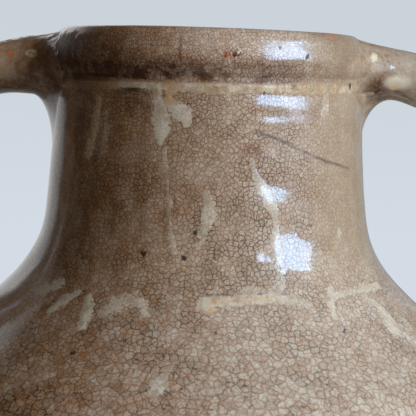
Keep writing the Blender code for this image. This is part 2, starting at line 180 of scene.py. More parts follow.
OUTLINE = body_outline()
FALLING = OUTLINE[::-1]
FALL_RUN = runs(FALLING)
FALL_OUT = -outward(FALLING)
WHOLE = np.vstack([OUTLINE, rim_outline()[1:]])
WHOLE_RUN = runs(WHOLE)
WHOLE_OUT = outward(WHOLE)


def fall_to(height):
    """Distance down the outer face from the rim band to a height."""
    return np.interp(-height, -FALLING[:, 1], FALL_RUN)


def bell(x, middle, width):
    """Smooth bump of height one."""
    return np.exp(-(((x - middle) / width) ** 2))


def soft_step(x, low, high):
    """Smooth rise from nought at one value to one at another, either way round."""
    share = np.clip((x - low) / (high - low), 0, 1)
    return share * share * (3 - 2 * share)


# Height, width and upward tilt in degrees of the throwing ripples all round
RIPPLES = (
    (0.3256, 0.0032, -7.5), (0.319, 0.003, -2.2), (0.305, 0.0021, 5), (0.2995, 0.0038, -2.2),
    (0.289, 0.007, -1), (0.272, 0.006, -0.8), (0.262, 0.004, -1), (0.233, 0.006, 2.5), (0.212, 0.007, 1),
    (0.195, 0.008, -1), (0.172, 0.009, 0.8), (0.118, 0.01, -0.8), (0.09, 0.009, 1), (0.065, 0.008, -1),
    (0.042, 0.007, 0.9),
)
# Degrees round, width round, height, width up, upward tilt and sideways lean in degrees
HOLLOWS = (
    (20, 7, 0.2985, 0.0022, 5.3, 0), (27, 11, 0.2935, 0.008, -3.6, 0), (21, 20, 0.305, 0.0095, 0, 5.5),
    (16, 2, 0.2905, 0.0012, 5, 0), (20, 8.5, 0.2732, 0.0054, 7.5, 0), (27, 11, 0.259, 0.003, 2.2, 0),
    (28, 11, 0.2474, 0.0028, -3.5, 0), (20, 14, 0.2738, 0.011, 0, 4), (18, 2.8, 0.2523, 0.0024, 2, 8),
)


def ripple_line():
    """Lift of the outer face by its ripples, for a row of heights."""
    z = np.linspace(0, JUG_HEIGHT, 1651)
    tilt = np.zeros_like(z)
    for middle, width, degrees in RIPPLES:
        tilt += degrees * bell(z, middle, width)
    lift = np.cumsum(np.tan(np.radians(tilt))[::-1])[::-1] * (z[1] - z[0])
    return z, lift - lift[z > RIM_BASE].mean()


RIPPLE_Z, RIPPLE_LIFT = ripple_line()


def relief(turn, z):
    """Lift of the hand-thrown outer face over the true outline."""
    lift = np.interp(z, RIPPLE_Z, RIPPLE_LIFT) * soft_step(z, 0.02, 0.05)
    for degrees, wide, middle, tall, tilt, lean in HOLLOWS:
        up, aside = math.tan(math.radians(tilt)), math.tan(math.radians(lean)) * NECK_RADIUS
        off = turn - math.radians(degrees)
        near = bell(off, 0, math.radians(wide)) * bell(z, middle, tall)
        lift = lift - (up * (z - middle) + aside * off) * near
    wobble = np.sin(2 * turn + 90 * z) + 0.7 * np.sin(3 * turn - 140 * z + 1.1)
    wobble += 0.5 * np.sin(5 * turn + 210 * z + 2.3) + 0.4 * np.sin(9 * turn + 320 * z)
    lift = lift + 0.00008 * wobble
    rings = np.sin(2 * np.pi * z / 0.0063 + 0.8 * np.sin(turn + 0.6) + 40 * z)
    lift = lift + 0.00001 * rings * (1 + 0.6 * np.sin(2 * turn + 1.0))
    lift = lift + soft_step(z, 0.185, 0.205) * (0.0006 + 0.0003 * bell(z, 0.235, 0.02))
    belly = soft_step(np.interp(z, OUTLINE[:, 1], OUTLINE[:, 0]), 0.108, 0.12)
    lift = lift - belly * 0.0012
    return lift * (0.45 + 0.55 * np.clip((JUG_HEIGHT - z) / 0.003, 0, 1))


def place(turn, radius, z):
    """World point at a turn from the front, a radius and a height, under a slightly worn lip."""
    sag = soft_step(z, 0.314, 0.329) * (0.00132 + 0.0005 * np.sin(turn))
    return np.stack([radius * np.sin(turn), -radius * np.cos(turn), z - sag], -1)


def skin(turn, radius, z, out_r, out_z, lift=0.0):
    """Points on the outer face with its relief."""
    ways = np.stack([out_r * np.sin(turn), -out_r * np.cos(turn), out_z], -1)
    raised = relief(turn, z) + np.asarray(lift)
    return place(turn, radius, z) + np.reshape(raised, (-1, 1)) * ways


def wall_spot(turn, run, lift):
    """Points on the outer face at a turn and a distance up its whole outline."""
    return skin(turn, *read(WHOLE, WHOLE_RUN, run), *read(WHOLE_OUT, WHOLE_RUN, run), lift)


# Handles: pulled rolls whose clay runs out over the wall


class Roll:
    """Middle line and section of a handle."""

    def __init__(self, side, drop, root_slope, root_reach, crease, pinch):
        self.side, self.root_reach, self.crease, self.pinch = side, root_reach, crease, pinch
        seat_run = fall_to(TURN_HEIGHT) + 0.07 * (fall_to(BELLY_HEIGHT) - fall_to(TURN_HEIGHT))
        inward = -0.6 * HANDLE_THICKNESS * read(FALL_OUT, FALL_RUN, seat_run)
        seat = read(FALLING, FALL_RUN, seat_run) + inward
        root = np.array([NECK_RADIUS - 0.6 * WALL, JUG_HEIGHT - drop])
        bend_z = seat[1] + 0.57 * (root[1] - seat[1])
        bend = np.array([ROOT_RADIUS + FINGER_GAP + HANDLE_THICKNESS / 2, bend_z])
        line = sweep(root, root_slope, bend, -90, (0.66, 0.52), 3 * FINE)
        line = np.vstack([line, sweep(bend, -90, seat, -101, (0.35, 0.35), 3 * FINE)[1:]])
        self.line = resampled(line, 0.0009)
        self.along = runs(self.line)
        self.way = unit(np.gradient(self.line, axis=0))
        self.up = -outward(self.line)
        swell = 0.0003 * np.sin(self.along * 210 + side) + 0.0003 * np.sin(self.along * 97)
        at_root = 0.0026 * np.maximum(0, 1 - self.along / 0.026) ** 2
        at_seat = 0.0016 * np.maximum(0, 1 - (self.along[-1] - self.along) / 0.03) ** 2
        self.thick = HANDLE_THICKNESS / 2 + at_root + at_seat + swell
        self.wide = HANDLE_WIDTH / 2 + at_root + at_seat + 0.8 * swell

    def ring(self, k, angle):
        """Points round the roll at a row of its middle line."""
        along = self.along[k]
        dent = 1 + 0.01 * np.sin(3 * angle + 60 * along) + 0.008 * np.sin(2 * angle + 130 * along)
        place_of = np.radians(226 - 22 * np.clip(along / 0.019, 0, 1.4))
        deep = self.crease * np.interp(along, (0.004, 0.014, 0.026, 0.06), (1.0, 0.8, 0.35, 0.0))
        dent = dent - deep * bell(angle, place_of, 0.17) / self.thick[k]
        below = bell(along, 0.0165, 0.01) * (0.5 - 0.5 * np.cos(angle)) ** 2
        dent = dent - self.pinch * below / self.thick[k]
        flat = self.line[k] + (self.thick[k] * dent * np.cos(angle))[:, None] * self.up[k]
        return np.stack([self.side * flat[:, 0], self.wide[k] * dent * np.sin(angle), flat[:, 1]], -1)


def body_distance(points):
    """Rough distance of points from the outer face of the jug, negative inside."""
    turn = np.arctan2(points[:, 0], -points[:, 1])
    wall = np.interp(points[:, 2], WHOLE[:, 1], WHOLE[:, 0]) + relief(turn, points[:, 2])
    lean = np.interp(points[:, 2], WHOLE[:, 1], WHOLE_OUT[:, 0])
    return (np.hypot(points[:, 0], points[:, 1]) - wall) * np.maximum(lean, 0.3)


def met(points, way):
    """Where straight lines from points along one way meet the wall."""
    low, high = np.zeros(len(points)), np.full(len(points), 0.045)
    for _ in range(24):
        middle = (low + high) / 2
        inside = body_distance(points + middle[:, None] * way) < 0
        low, high = np.where(inside, low, middle), np.where(inside, middle, high)
    return points + low[:, None] * way


def run_out(ring, way, centre, reach, stiff, rows=14):
    """Rows of points by which the clay of a ring runs out over the wall, from the wall back."""
    spots, middle = met(ring, way), met(centre[None], way)
    turn, middle_turn = (np.arctan2(p[:, 0], -p[:, 1]) for p in (spots, middle))
    run, middle_run = (np.interp(p[:, 2], WHOLE[:, 1], WHOLE_RUN) for p in (spots, middle))
    radius = np.interp(run, WHOLE_RUN, WHOLE[:, 0])
    gap = np.angle(np.exp(1j * (turn - middle_turn)))
    off = unit(np.stack([gap * radius, run - middle_run], -1))
    end_run = np.minimum(run + off[:, 1] * reach, WHOLE_RUN[-1] - 0.0014)
    ends = wall_spot(turn + off[:, 0] * reach / radius, end_run, -0.00008)
    depth = np.linalg.norm(spots - ring, axis=1)[:, None]
    stiff = np.reshape(stiff, (-1, 1))
    leave, arrive = ring + stiff * depth * way, ends + stiff * (spots - ends)
    return bezier(1 - np.linspace(0, 1, rows, endpoint=False)[:, None, None], ring, leave, arrive, ends)


# Reach in metres of the clay over the wall, at degrees from the top of the roll by its back
REACH_TURNS = (0, 45, 90, 135, 180, 225, 270, 315, 360)
ROLLS = {
    "handle_left": Roll(-1, 0.0147, 1, (0.01, 0.011, 0.014, 0.014, 0.024, 0.018, 0.019, 0.013, 0.01), 0, 0),
    "handle_right": Roll(
        1, 0.014, -4, (0.015, 0.013, 0.014, 0.012, 0.02, 0.0045, 0.015, 0.017, 0.015), 0.0021, 0.0012
    ),
}


# Meshes


def add_object(name, data):
    """New object in the scene."""
    made = bpy.data.objects.new(name, data)
    bpy.context.scene.collection.objects.link(made)
    return made


def add_mesh(name, points, faces, node_names, slot_name, material, layers=None, seams=None):
    """Smooth piece of the object that stands for CAD nodes."""
    mesh = bpy.data.meshes.new(name)
    mesh.from_pydata(np.asarray(points).tolist(), [], np.asarray(faces).tolist())
    mesh.update()
    mesh.shade_smooth()
    for layer, values in (seams or {}).items():
        uv = mesh.uv_layers.new(name=layer)
        uv.data.foreach_set("uv", np.ascontiguousarray(values, np.float32).ravel())
    for layer, values in (layers or {}).items():
        cells = mesh.attributes.new(layer, "FLOAT", "POINT")
        cells.data.foreach_set("value", np.ascontiguousarray(values, np.float32))
    mesh.materials.append(material)
    piece = add_object(name, mesh)
    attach(piece, "root")
    if node_names:
        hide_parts(*node_names)


def grid_faces(rows, columns, wrap=True):
    """Quads of a grid of points, wrapped round its columns or not, with each one's row and column."""
    row, column = np.meshgrid(np.arange(rows - 1), np.arange(columns - (not wrap)), indexing="ij")
    row, column = row.ravel(), column.ravel()
    here, above, after = row * columns, (row + 1) * columns, (column + 1) % columns
    return np.stack([here + column, here + after, above + after, above + column], -1), row, column


def craze_run(line):
    """Distance along a profile in radians of its own radius, for cells that grow with it."""
    steps = np.linalg.norm(np.diff(line, axis=0), axis=1)
    radii = np.maximum((line[1:, 0] + line[:-1, 0]) / 2, 0.02)
    return np.concatenate([[0], np.cumsum(steps / radii)])


def outer_stretches():
    """Stretches of the outer face for the four walls, their whole line and its run in the craze."""
    parts = [resampled(part, step) for part, step in zip(cut_at(WHOLE, JOINTS), STEPS)]
    path = np.vstack([part[:-1] for part in parts] + [parts[-1][-1:]])
    craze = craze_run(path)
    return parts, path, craze - np.interp(BODY_HEIGHT, path[:, 1], craze)


OUTER_PARTS, OUTER_PATH, OUTER_CRAZE = outer_stretches()


def corner_map(left, right, low, high):
    """Places across and up for the four corners of each quad."""
    return np.stack([left, right, right, left], -1), np.stack([low, low, high, high], -1)


def craze_seams(turns, rising, row, column):
    """Two flat maps of the glaze for the corners of a turned grid, with their seams apart."""
    left = turns[column]
    right = left + 2 * math.pi / len(turns)
    low, high = rising[row], rising[row + 1]
    u, v = corner_map(left, right, low, high)
    return seam_maps(np.repeat(left, 4), u.ravel(), v.ravel())


def seam_maps(start, u, v):
    """The map with its seam behind, and the one with its seam in front, moved aside."""
    shifted = np.where(start < -1e-9, u + 2 * math.pi, u) + SEAM_SHIFT
    return {"craze": np.stack([u, v], -1), "craze_back": np.stack([shifted, v], -1)}


def stain_and_shade_of(turn, z):
    """Brown at the rim band's foot and on the left: partly staining seeped in under the glaze, partly painted
    shade in the crease under the rim band and on the left, the side away from the window.
    """
    # Band at the rim band's foot, strongest on the left: staining and painted shade under the rim band's
    # overhang.
    band = 0.42 + 0.34 * soft_step(turn, 0.05, -0.3) + 0.2 * bell(turn, 0.34, 0.12)
    band = band - 0.34 * soft_step(turn, 0.45, 0.75) + 0.15 * soft_step(np.abs(turn), 1.6, 2.2)
    over_joint = soft_step(z, 0.3098, 0.3105)
    band = band * over_joint * soft_step(z, 0.3215, 0.3155)
    # Rim band and upper neck on the left: partly staining, partly painted shade on the side away from the
    # window.
    high = soft_step(turn, -0.2, -0.66) * over_joint
    high = high * (0.24 + 0.44 * soft_step(z, 0.326, 0.3205)) * soft_step(-turn, 2.7, 2.0)
    high = np.maximum(high, 0.4 * bell(turn, -0.44, 0.13) * bell(z, 0.3035, 0.004))
    # Extra brown along the crease under the rim band: painted shade.
    band = band + 0.34 * bell(z, 0.3132, 0.0042) * soft_step(turn, 0.4, 0.0)
    side_rim = 0.18 * bell(turn, 0.8, 0.26) * soft_step(z, 0.3098, 0.313)
    # Neck on the left: painted shade on the side away from the window, with some staining.
    side = 0.3 * soft_step(-turn, 0.75, 1.15) * soft_step(-turn, 2.7, 2.0) * soft_step(z, 0.222, 0.262)
    seats = bell(np.abs(turn), math.pi / 2, 0.16) * bell(z, 0.207, 0.012)
    low = 0.6 * bell(z, 0.012, 0.016) + 0.3 * seats
    return np.clip(np.maximum(band, high) + side + side_rim + low, 0, 1)


def warm_of(turn, z):
    """Warmth of the glaze, from pale grey on the right to brown on the left: partly the glaze's own brown,
    partly painted shade on the left, the side away from the window.
    """
    warm = soft_step(turn, 0.44, -0.78) * (1 - 0.5 * soft_step(-turn, 1.9, 2.9))
    warm = warm + 0.5 * soft_step(turn, 1.9, 2.9)
    return np.clip(warm * (0.93 + 0.07 * soft_step(z, 0.22, 0.26)), 0, 1)


def pale_of(turn, z):
    """Paler, greyer glaze lower on the shoulder, on the rim band's upper part in front and in a small patch
    on the neck: partly the glaze's own tone, partly a painted sheen on the shoulder and the rim band, which
    face up towards the window.
    """
    low = soft_step(z, 0.256, 0.23) * soft_step(np.abs(turn - 0.9), 2.5, 1.0)
    lip = soft_step(z, 0.318, 0.325) * soft_step(turn, -0.8, -0.25) * soft_step(turn, 1.0, 0.5)
    patch = 0.35 * bell(turn, 0.06, 0.13) * bell(z, 0.3, 0.005)
    return np.maximum(low, lip) + patch


def faint_of(turn, z):
    """Where the craze is pale and blurred: round the right of the neck."""
    return soft_step(turn, 0.42, 0.95) * soft_step(turn, 2.6, 2.0) * soft_step(z, 0.236, 0.256)


# Degrees round, width round, height and width up of the patches without gloss
DULL_PATCHES = (
    (18, 5, 0.258, 0.0042), (18, 5, 0.2474, 0.0036), (-62, 16, 0.32, 0.008), (66, 9, 0.315, 0.006),
    (-38, 26, 0.315, 0.0017), (34.5, 3.5, 0.26, 0.003), (31, 8, 0.246, 0.0016),
)
# Turn, width and strength of the rubbed places on the lip
WORN_PLACES = (
    (0.86, 0.08, 0.7), (0.13, 0.02, 0.7), (-0.5, 0.05, 0.4), (1.9, 0.1, 0.9), (2.9, 0.06, 0.8),
    (-2.2, 0.12, 0.9),
)


def dull_of(turn, z):
    """Patches where the glaze has lost its gloss."""
    return 0.9 * bell(z, 0.3116, 0.0019) + sum(
        bell(turn, math.radians(degrees), math.radians(wide)) * bell(z, height, tall)
        for degrees, wide, height, tall in DULL_PATCHES
    )


def wear_of(turn, z, outer):
    """Bare reddish clay where the lip has been rubbed."""
    places = sum(
        size * bell(np.angle(np.exp(1j * (turn - way))), 0, wide) for way, wide, size in WORN_PLACES
    )
    return np.clip(bell(z, 0.3292, 0.0014) * places, 0, 1) * outer


def paint_of(turn, z, outer=True):
    """Values that the glaze reads at points of the walls."""
    return {
        "stain": stain_and_shade_of(turn, z), "warm": warm_of(turn, z), "pale": pale_of(turn, z),
        "faint": faint_of(turn, z), "wear": wear_of(turn, z, outer), "dull": dull_of(turn, z),
    }


def turned_piece(name, stretches, material):
    """Shell of revolution from an outer stretch and an inner one, closed at its joints."""
    turns = np.linspace(-math.pi, math.pi, AROUND, endpoint=False)
    points, faces, layers, seams = [], [], [], []
    for line, normals, rising, outer in stretches:
        turn = np.tile(turns, len(line))
        radius, z, out_r, out_z = np.repeat(np.hstack([line, normals]), AROUND, axis=0).T
        quads, row, column = grid_faces(len(line), AROUND)
        faces.append(quads + sum(map(len, points)))
        points.append(skin(turn, radius, z, out_r, out_z) if outer else place(turn, radius, z))
        layers.append(paint_of(turn, z, outer))
        seams.append(craze_seams(turns, rising, row, column))
    layers = {key: np.concatenate([layer[key] for layer in layers]) for key in layers[0]}
    seams = {key: np.vstack([seam[key] for seam in seams]) for key in seams[0]}
    shape = np.vstack(points), np.vstack(faces)
    add_mesh(name + "_look", *shape, [name], "crackle_glaze", material, layers, seams)


def make_walls(material):
    """Dense skins of the lower body, the upper body, the neck and the rim band."""
    inside = [resampled(part, 0.003) for part in cut_at(inner_outline(), JOINTS[::-1])][::-1]
    ways = outward(OUTER_PATH)
    start = 0
    for index, name in enumerate(("lower_body", "upper_body", "neck", "rim_band")):
        part, hollow = OUTER_PARTS[index], inside[index]
        stop = start + len(part)
        stretches = [(part, ways[start:stop], OUTER_CRAZE[start:stop], True)]
        stretches.append((hollow, outward(hollow), craze_run(hollow) + 3.0 * index + 5.0, False))
        if name == "lower_body":
            sole = resampled(np.array([[AXIS_HOLE, BODY_BASE], [part[0][0], BODY_BASE]]), 0.003)
            stretches.append((sole, outward(sole), craze_run(sole) + 30, False))
        turned_piece(name, stretches, material)
        start = stop - 1


def make_handle(name, roll, material):
    """Pulled handle whose clay runs out over the rim, the neck and the shoulder."""
    angle = np.linspace(0, 2 * math.pi, SIDES, endpoint=False)
    centres, ways = (
        np.stack([roll.side * flat[:, 0], 0 * roll.along, flat[:, 1]], -1) for flat in (roll.line, roll.way)
    )
    first = int(np.argmax(roll.along > (0.0145 if roll.side < 0 else 0.018)))
    last = int(np.argmax(roll.along > roll.along[-1] - 0.023))
    reach = np.interp(np.degrees(angle), REACH_TURNS, roll.root_reach)
    stiff = np.where(reach < 0.0052, 0.65, 0.62 - 0.1 * bell(angle, math.pi, 0.7))
    root = run_out(roll.ring(first, angle), -ways[first], centres[first], reach, stiff)
    seat_reach = 0.009 + 0.0015 * np.cos(angle)
    seat = run_out(roll.ring(last, angle), ways[last], centres[last], seat_reach, 0.6)[::-1]
    middle = np.stack([roll.ring(k, angle) for k in range(first, last + 1)])
    grid = np.concatenate([root, middle, seat])
    strides = np.linalg.norm(np.diff(grid, axis=0), axis=2).mean(1)
    along = np.concatenate([[0], np.cumsum(strides)])
    points = grid.reshape(-1, 3)
    quads, row, column = grid_faces(len(grid), SIDES)
    scale, step = 1 / HANDLE_CRAZE, 2 * math.pi / SIDES
    left, right = (start * HANDLE_RADIUS * scale for start in (angle[column], angle[column] + step))
    low, high = along[row] * scale, along[row + 1] * scale
    u, v = corner_map(left, right, low, high)
    if roll.side < 0:
        quads, u, v = quads[:, ::-1], u[:, ::-1], v[:, ::-1]
    uv = np.stack([u.ravel() + 11 * roll.side, v.ravel() + 2.3], -1)
    paint, seams = handle_paint(roll, points), {"craze": uv, "craze_back": uv}
    add_mesh(name + "_look", points, quads, [name], "crackle_glaze", material, paint, seams)


def handle_paint(roll, points):
    """Values that the glaze reads at points of a handle."""
    out, z = roll.side * points[:, 0], points[:, 2]
    root = soft_step(out, 0.077, 0.066) * soft_step(z, 0.27, 0.295)
    under = soft_step(z, 0.315, 0.306) * soft_step(z, 0.285, 0.3)
    seat = bell(z, 0.205, 0.012)
    dull = 0.42 * soft_step(z, 0.305, 0.309)
    if roll.side < 0:
        # Left handle: browner and darker at its root and just below it, partly staining, partly painted shade
        # on the side away from the window.
        stain = np.maximum(0.5 * root, 0.62 * under) + 0.3 * seat + 0.08 * soft_step(z, 0.27, 0.3)
        warm = 0.8 + 0.2 * root
        pale = 0 * z
    else:
        # Right handle: painted shadow as a dark patch in the notch under the roll and a dark line along the
        # crease of its fold.
        dark = bell(out, 0.0628, 0.0034) * bell(z, 0.3096, 0.0044)
        fold = np.interp(out, (0.0624, 0.0717, 0.0789, 0.09), (0.3123, 0.3085, 0.3035, 0.296))
        dark = np.maximum(dark, 0.5 * bell(z, fold, 0.0009) * soft_step(out, 0.0615, 0.065))
        dark = dark * (points[:, 1] < 0) * soft_step(out, 0.086, 0.078)
        stain = 0.2 * root + 0.72 * dark + 0.3 * seat
        warm, pale = 0 * z, 0.34 + 0.66 * soft_step(out, 0.064, 0.072)
        dull = np.maximum(dull, 0.95 * soft_step(out, 0.0678, 0.0652) * soft_step(z, 0.305, 0.309))
    paint = {"stain": np.clip(stain, 0, 1), "warm": warm, "pale": pale, "dull": dull}
    return paint | {"faint": 0 * z + 0.75, "wear": 0 * z}


def make_foot(material):
    """Foot ring of bare clay with soft, worn edges."""
    outer_x, inner_x = FOOT_RADIUS - CHAMFER, FOOT_RADIUS - CHAMFER - 0.0125
    corners = [(outer_x, FOOT_HEIGHT), (FOOT_RADIUS, FOOT_HEIGHT - CHAMFER), (FOOT_RADIUS, 0.0016)]
    corners += [(FOOT_RADIUS - 0.0016, 0.0), (inner_x + 0.0036, 0.0), (inner_x + 0.002, 0.0016)]
    corners += [(inner_x, FOOT_HEIGHT), (outer_x, FOOT_HEIGHT)]
    line = resampled(np.array(corners), 0.0011)
    turn = np.tile(np.linspace(-math.pi, math.pi, AROUND, endpoint=False), len(line))
    radius, z = np.repeat(line, AROUND, axis=0).T
    soft = 0.0002 * np.sin(7 * turn + 300 * z) + 0.00015 * np.sin(17 * turn + 1 + 500 * z)
    radius = radius - np.abs(soft) * np.where(radius > 0.058, 1, -1)
    faces = grid_faces(len(line), AROUND)[0][:, ::-1]
    add_mesh("foot_ring_look", place(turn, radius, z), faces, ["foot_ring"], "bare_clay", material)


# Slip marks and small marks


def level_run(level):
    """Run down from the rim band to a level: 1 at the neck's root, 2 at the turn."""
    neck = fall_to(BODY_HEIGHT)
    hollow = fall_to(TURN_HEIGHT) - neck
    return neck * np.minimum(level, 1) + hollow * np.maximum(np.asarray(level) - 1, 0)


# Points across a mark and past each of its ends, and its edge in half widths
ACROSS, TIP, EDGE = 17, 6, 1.9


def make_strip(name, path, relief_height, node, material, values):
    """Thin raised mark on the glazed surface, along a path of turns, runs and half widths."""
    path = np.array(path, float)
    radius = np.interp(path[:, 1], FALL_RUN, FALLING[:, 0])
    along = runs(np.stack([path[:, 0] * radius, path[:, 1]], -1))
    at = np.linspace(0, along[-1], max(8, int(along[-1] / 0.0006)))
    smooth = np.stack([np.interp(at, along, path[:, k]) for k in (0, 1, 2)], -1)
    for _ in range(8):
        smooth[1:-1] = 0.25 * smooth[:-2] + 0.5 * smooth[1:-1] + 0.25 * smooth[2:]
    radius = np.interp(smooth[:, 1], FALL_RUN, FALLING[:, 0])
    way = unit(np.stack([np.gradient(smooth[:, 0]) * radius, np.gradient(smooth[:, 1])], -1))
    tips = np.linspace(-EDGE, 0, TIP + 1)[:-1]
    head, tail = np.tile(smooth[0], (TIP, 1)), np.tile(smooth[-1], (TIP, 1))
    head[:, :2] += tips[:, None] * smooth[0, 2] * way[0] / [radius[0], 1]
    tail[:, :2] -= tips[::-1][:, None] * smooth[-1, 2] * way[-1] / [radius[-1], 1]
    beyond = np.concatenate([-tips, 0 * at, -tips[::-1]])
    at = np.concatenate([0 * tips, at, 0 * tips + at[-1]])
    smooth = np.vstack([head, smooth, tail])
    way = np.vstack([way[:1]] * TIP + [way] + [way[-1:]] * TIP)
    radius = np.repeat(np.interp(smooth[:, 1], FALL_RUN, FALLING[:, 0]), ACROSS)
    middle, middle_run, half = np.repeat(smooth, ACROSS, axis=0).T
    way_u, way_v = np.repeat(way, ACROSS, axis=0).T
    across = np.tile(np.linspace(-EDGE, EDGE, ACROSS), len(smooth))
    turn, run = middle - across * half * way_v / radius, middle_run + across * half * way_u
    close = np.hypot(across, np.repeat(beyond, ACROSS))
    mask = np.clip(1.25 - 0.65 * close, 0, 1) * (np.abs(across) < EDGE - 0.01)
    lift = (0.00006 if "soot" in values else 0.00002) + relief_height * half * soft_step(close, 1.4, 0.1)
    spot_r, spot_z = read(FALLING, FALL_RUN, run)
    spot_z = np.where(run < 0, RIM_BASE - run, spot_z)
    points = skin(turn, spot_r, spot_z, *read(FALL_OUT, FALL_RUN, run), lift)
    quads = grid_faces(len(smooth), ACROSS, False)[0]
    craze_v = np.interp(spot_z, OUTER_PATH[:, 1], OUTER_CRAZE)
    seams = {key: uv[quads.ravel()] for key, uv in seam_maps(turn, turn, craze_v).items()}
    layers = paint_of(turn, spot_z)
    for key, value in values.items():
        if not np.isscalar(value):
            value = np.interp(np.repeat(at, ACROSS), along, value)
        layers[key] = value + 0 * mask if key in ("cover", "ochre") else mask * value
    slot_name = "cream_slip" if "slip" in values else "crackle_glaze"
    add_mesh(name, points, quads, [node] if node else [], slot_name, material, layers, seams)


# Degrees round from the side's middle, level and half width in mm along each mark,
# then its opacity and its share of ochre
FRONT_TRAILS = (
    ((-41.6, 0.11, 1.3), (-40.6, 0.248, 1.5), (-41.6, 0.403, 1.7), (-43, 0.537, 1.9), (-44.2, 0.632, 1.5),
     (0.4, 0.48, 0.5, 0.66, 0.7), (0.9, 1, 1, 1, 1)),
    ((-16.9, 0.072, 1.1), (-17.1, 0.176, 1.4), (-15.8, 0.28, 2.1), (-15, 0.369, 2.5), (-15.2, 0.444, 1.9),
     (-15.4, 0.504, 0.8), (0.85, 0.74, 0.84, 0.94, 0.96, 0.88), (0.1, 0.25, 0, 0, 0.35, 0.5)),
    ((-12.3, 0.084, 1), (-13.6, 0.174, 1.1), (-12.1, 0.24, 1.6), (-8.7, 0.274, 2.6), (-6.3, 0.325, 1.8),
     (-6.9, 0.363, 0.8), (0.95, 0.82, 0.9, 1, 1, 0.9), (0.9, 0.9, 0.6, 0.15, 0.55, 0.3)),
    ((-13.6, 0.547, 0.5), (-13.8, 0.622, 0.7), (-13, 0.711, 0.5), (-12.4, 0.861, 0.45),
     (-11.7, 1.031, 0.5), (-10.7, 1.134, 0.7), (-9.9, 1.182, 1.3), (-9.1, 1.211, 0.8),
     (0.5, 0.65, 0.3, 0.22, 0.25, 0.35, 0.7, 0.6), (0.1,) * 8),
    ((0.2, 0.865, 0.8), (1.3, 0.962, 1.4), (1.1, 1.039, 2.1), (-0.4, 1.088, 1.3), (-1.6, 1.157, 1.2),
     (0.45, 0.62, 0.85, 0.52, 0.5), (0, 0, 0.1, 0.2, 0)),
    ((14.7, 0.621, 0.5), (16.1, 0.741, 0.8), (18.5, 0.839, 2), (21.3, 0.946, 2.2), (22.7, 1.009, 1),
     (23, 1.079, 0.75), (22.8, 1.158, 1.6), (23.3, 1.243, 1.8), (23.3, 1.309, 1.5), (22.2, 1.381, 1.4),
     (0.4, 0.65, 0.85, 0.85, 0.7, 0.65, 0.7, 0.65, 0.55, 0.65), (0.05,) * 10),
    ((45.8, 0.143, 1.1), (45.3, 0.213, 1.3), (43.7, 0.275, 0.8), (0.55, 0.6, 0.45), (0,) * 3),
)
FRONT_STROKES = (
    ((0.7, 1.471, 2.1), (3.1, 1.459, 1.6), (6.8, 1.459, 1.5), (10.7, 1.448, 1.5), (14.6, 1.445, 1.5),
     (19.3, 1.442, 1.5), (23.9, 1.452, 1.4), (28.3, 1.474, 1),
     (0.95, 0.95, 0.95, 0.95, 0.95, 0.95, 0.8, 0.5), (0.3, 0.65, 0.5, 0.55, 0.6, 0.5, 0.1, 0)),
    ((35.8, 1.58, 0.8), (36.6, 1.518, 1), (36.9, 1.473, 1.4), (40.4, 1.458, 1.1), (45.4, 1.452, 0.8),
     (50.4, 1.459, 0.7), (55.3, 1.455, 1.1), (63.2, 1.462, 1.3),
     (0.9, 0.95, 1, 0.8, 0.55, 0.55, 0.65, 0.9), (0.1,) * 8),
    ((54.2, 1.531, 0.9), (55.5, 1.574, 1.6), (55.1, 1.643, 2.9), (53.6, 1.712, 3.2),
     (0.7, 0.85, 0.95, 0.95), (0.1,) * 4),
    ((-51.4, 1.518, 2.4), (-49.1, 1.484, 2.8), (-45.1, 1.447, 2.2), (0.88, 0.94, 0.84), (0.8, 0.8, 0.4)),
    ((-42.1, 1.601, 1.5), (-41.3, 1.555, 2.2), (-39.1, 1.511, 2), (-36.8, 1.469, 1.5),
     (0.86, 0.96, 0.9, 0.74), (0.35,) * 4),
    ((-32.5, 1.492, 1.5), (-30.7, 1.544, 1.9), (-30.4, 1.602, 2.3), (-29.9, 1.655, 1.8),
     (0.74, 0.95, 1.05, 1), (0,) * 4),
    ((-25.6, 1.554, 2.6), (-24.3, 1.516, 3), (-21.8, 1.494, 2.6), (-19.9, 1.468, 2.4), (-18, 1.454, 1.7),
     (0.6, 0.75, 0.7, 0.65, 0.6), (0.15,) * 5),
    ((-18.3, 1.454, 1.7), (-16.3, 1.495, 2), (-15, 1.531, 1.6), (0.75, 0.8, 0.7), (0,) * 3),
    ((-6.1, 1.827, 0.5), (-7.1, 1.872, 0.7), (-8, 1.926, 2.1), (-8.1, 1.962, 2.1), (0.3, 0.45, 1, 1),
     (0.2,) * 4),
)
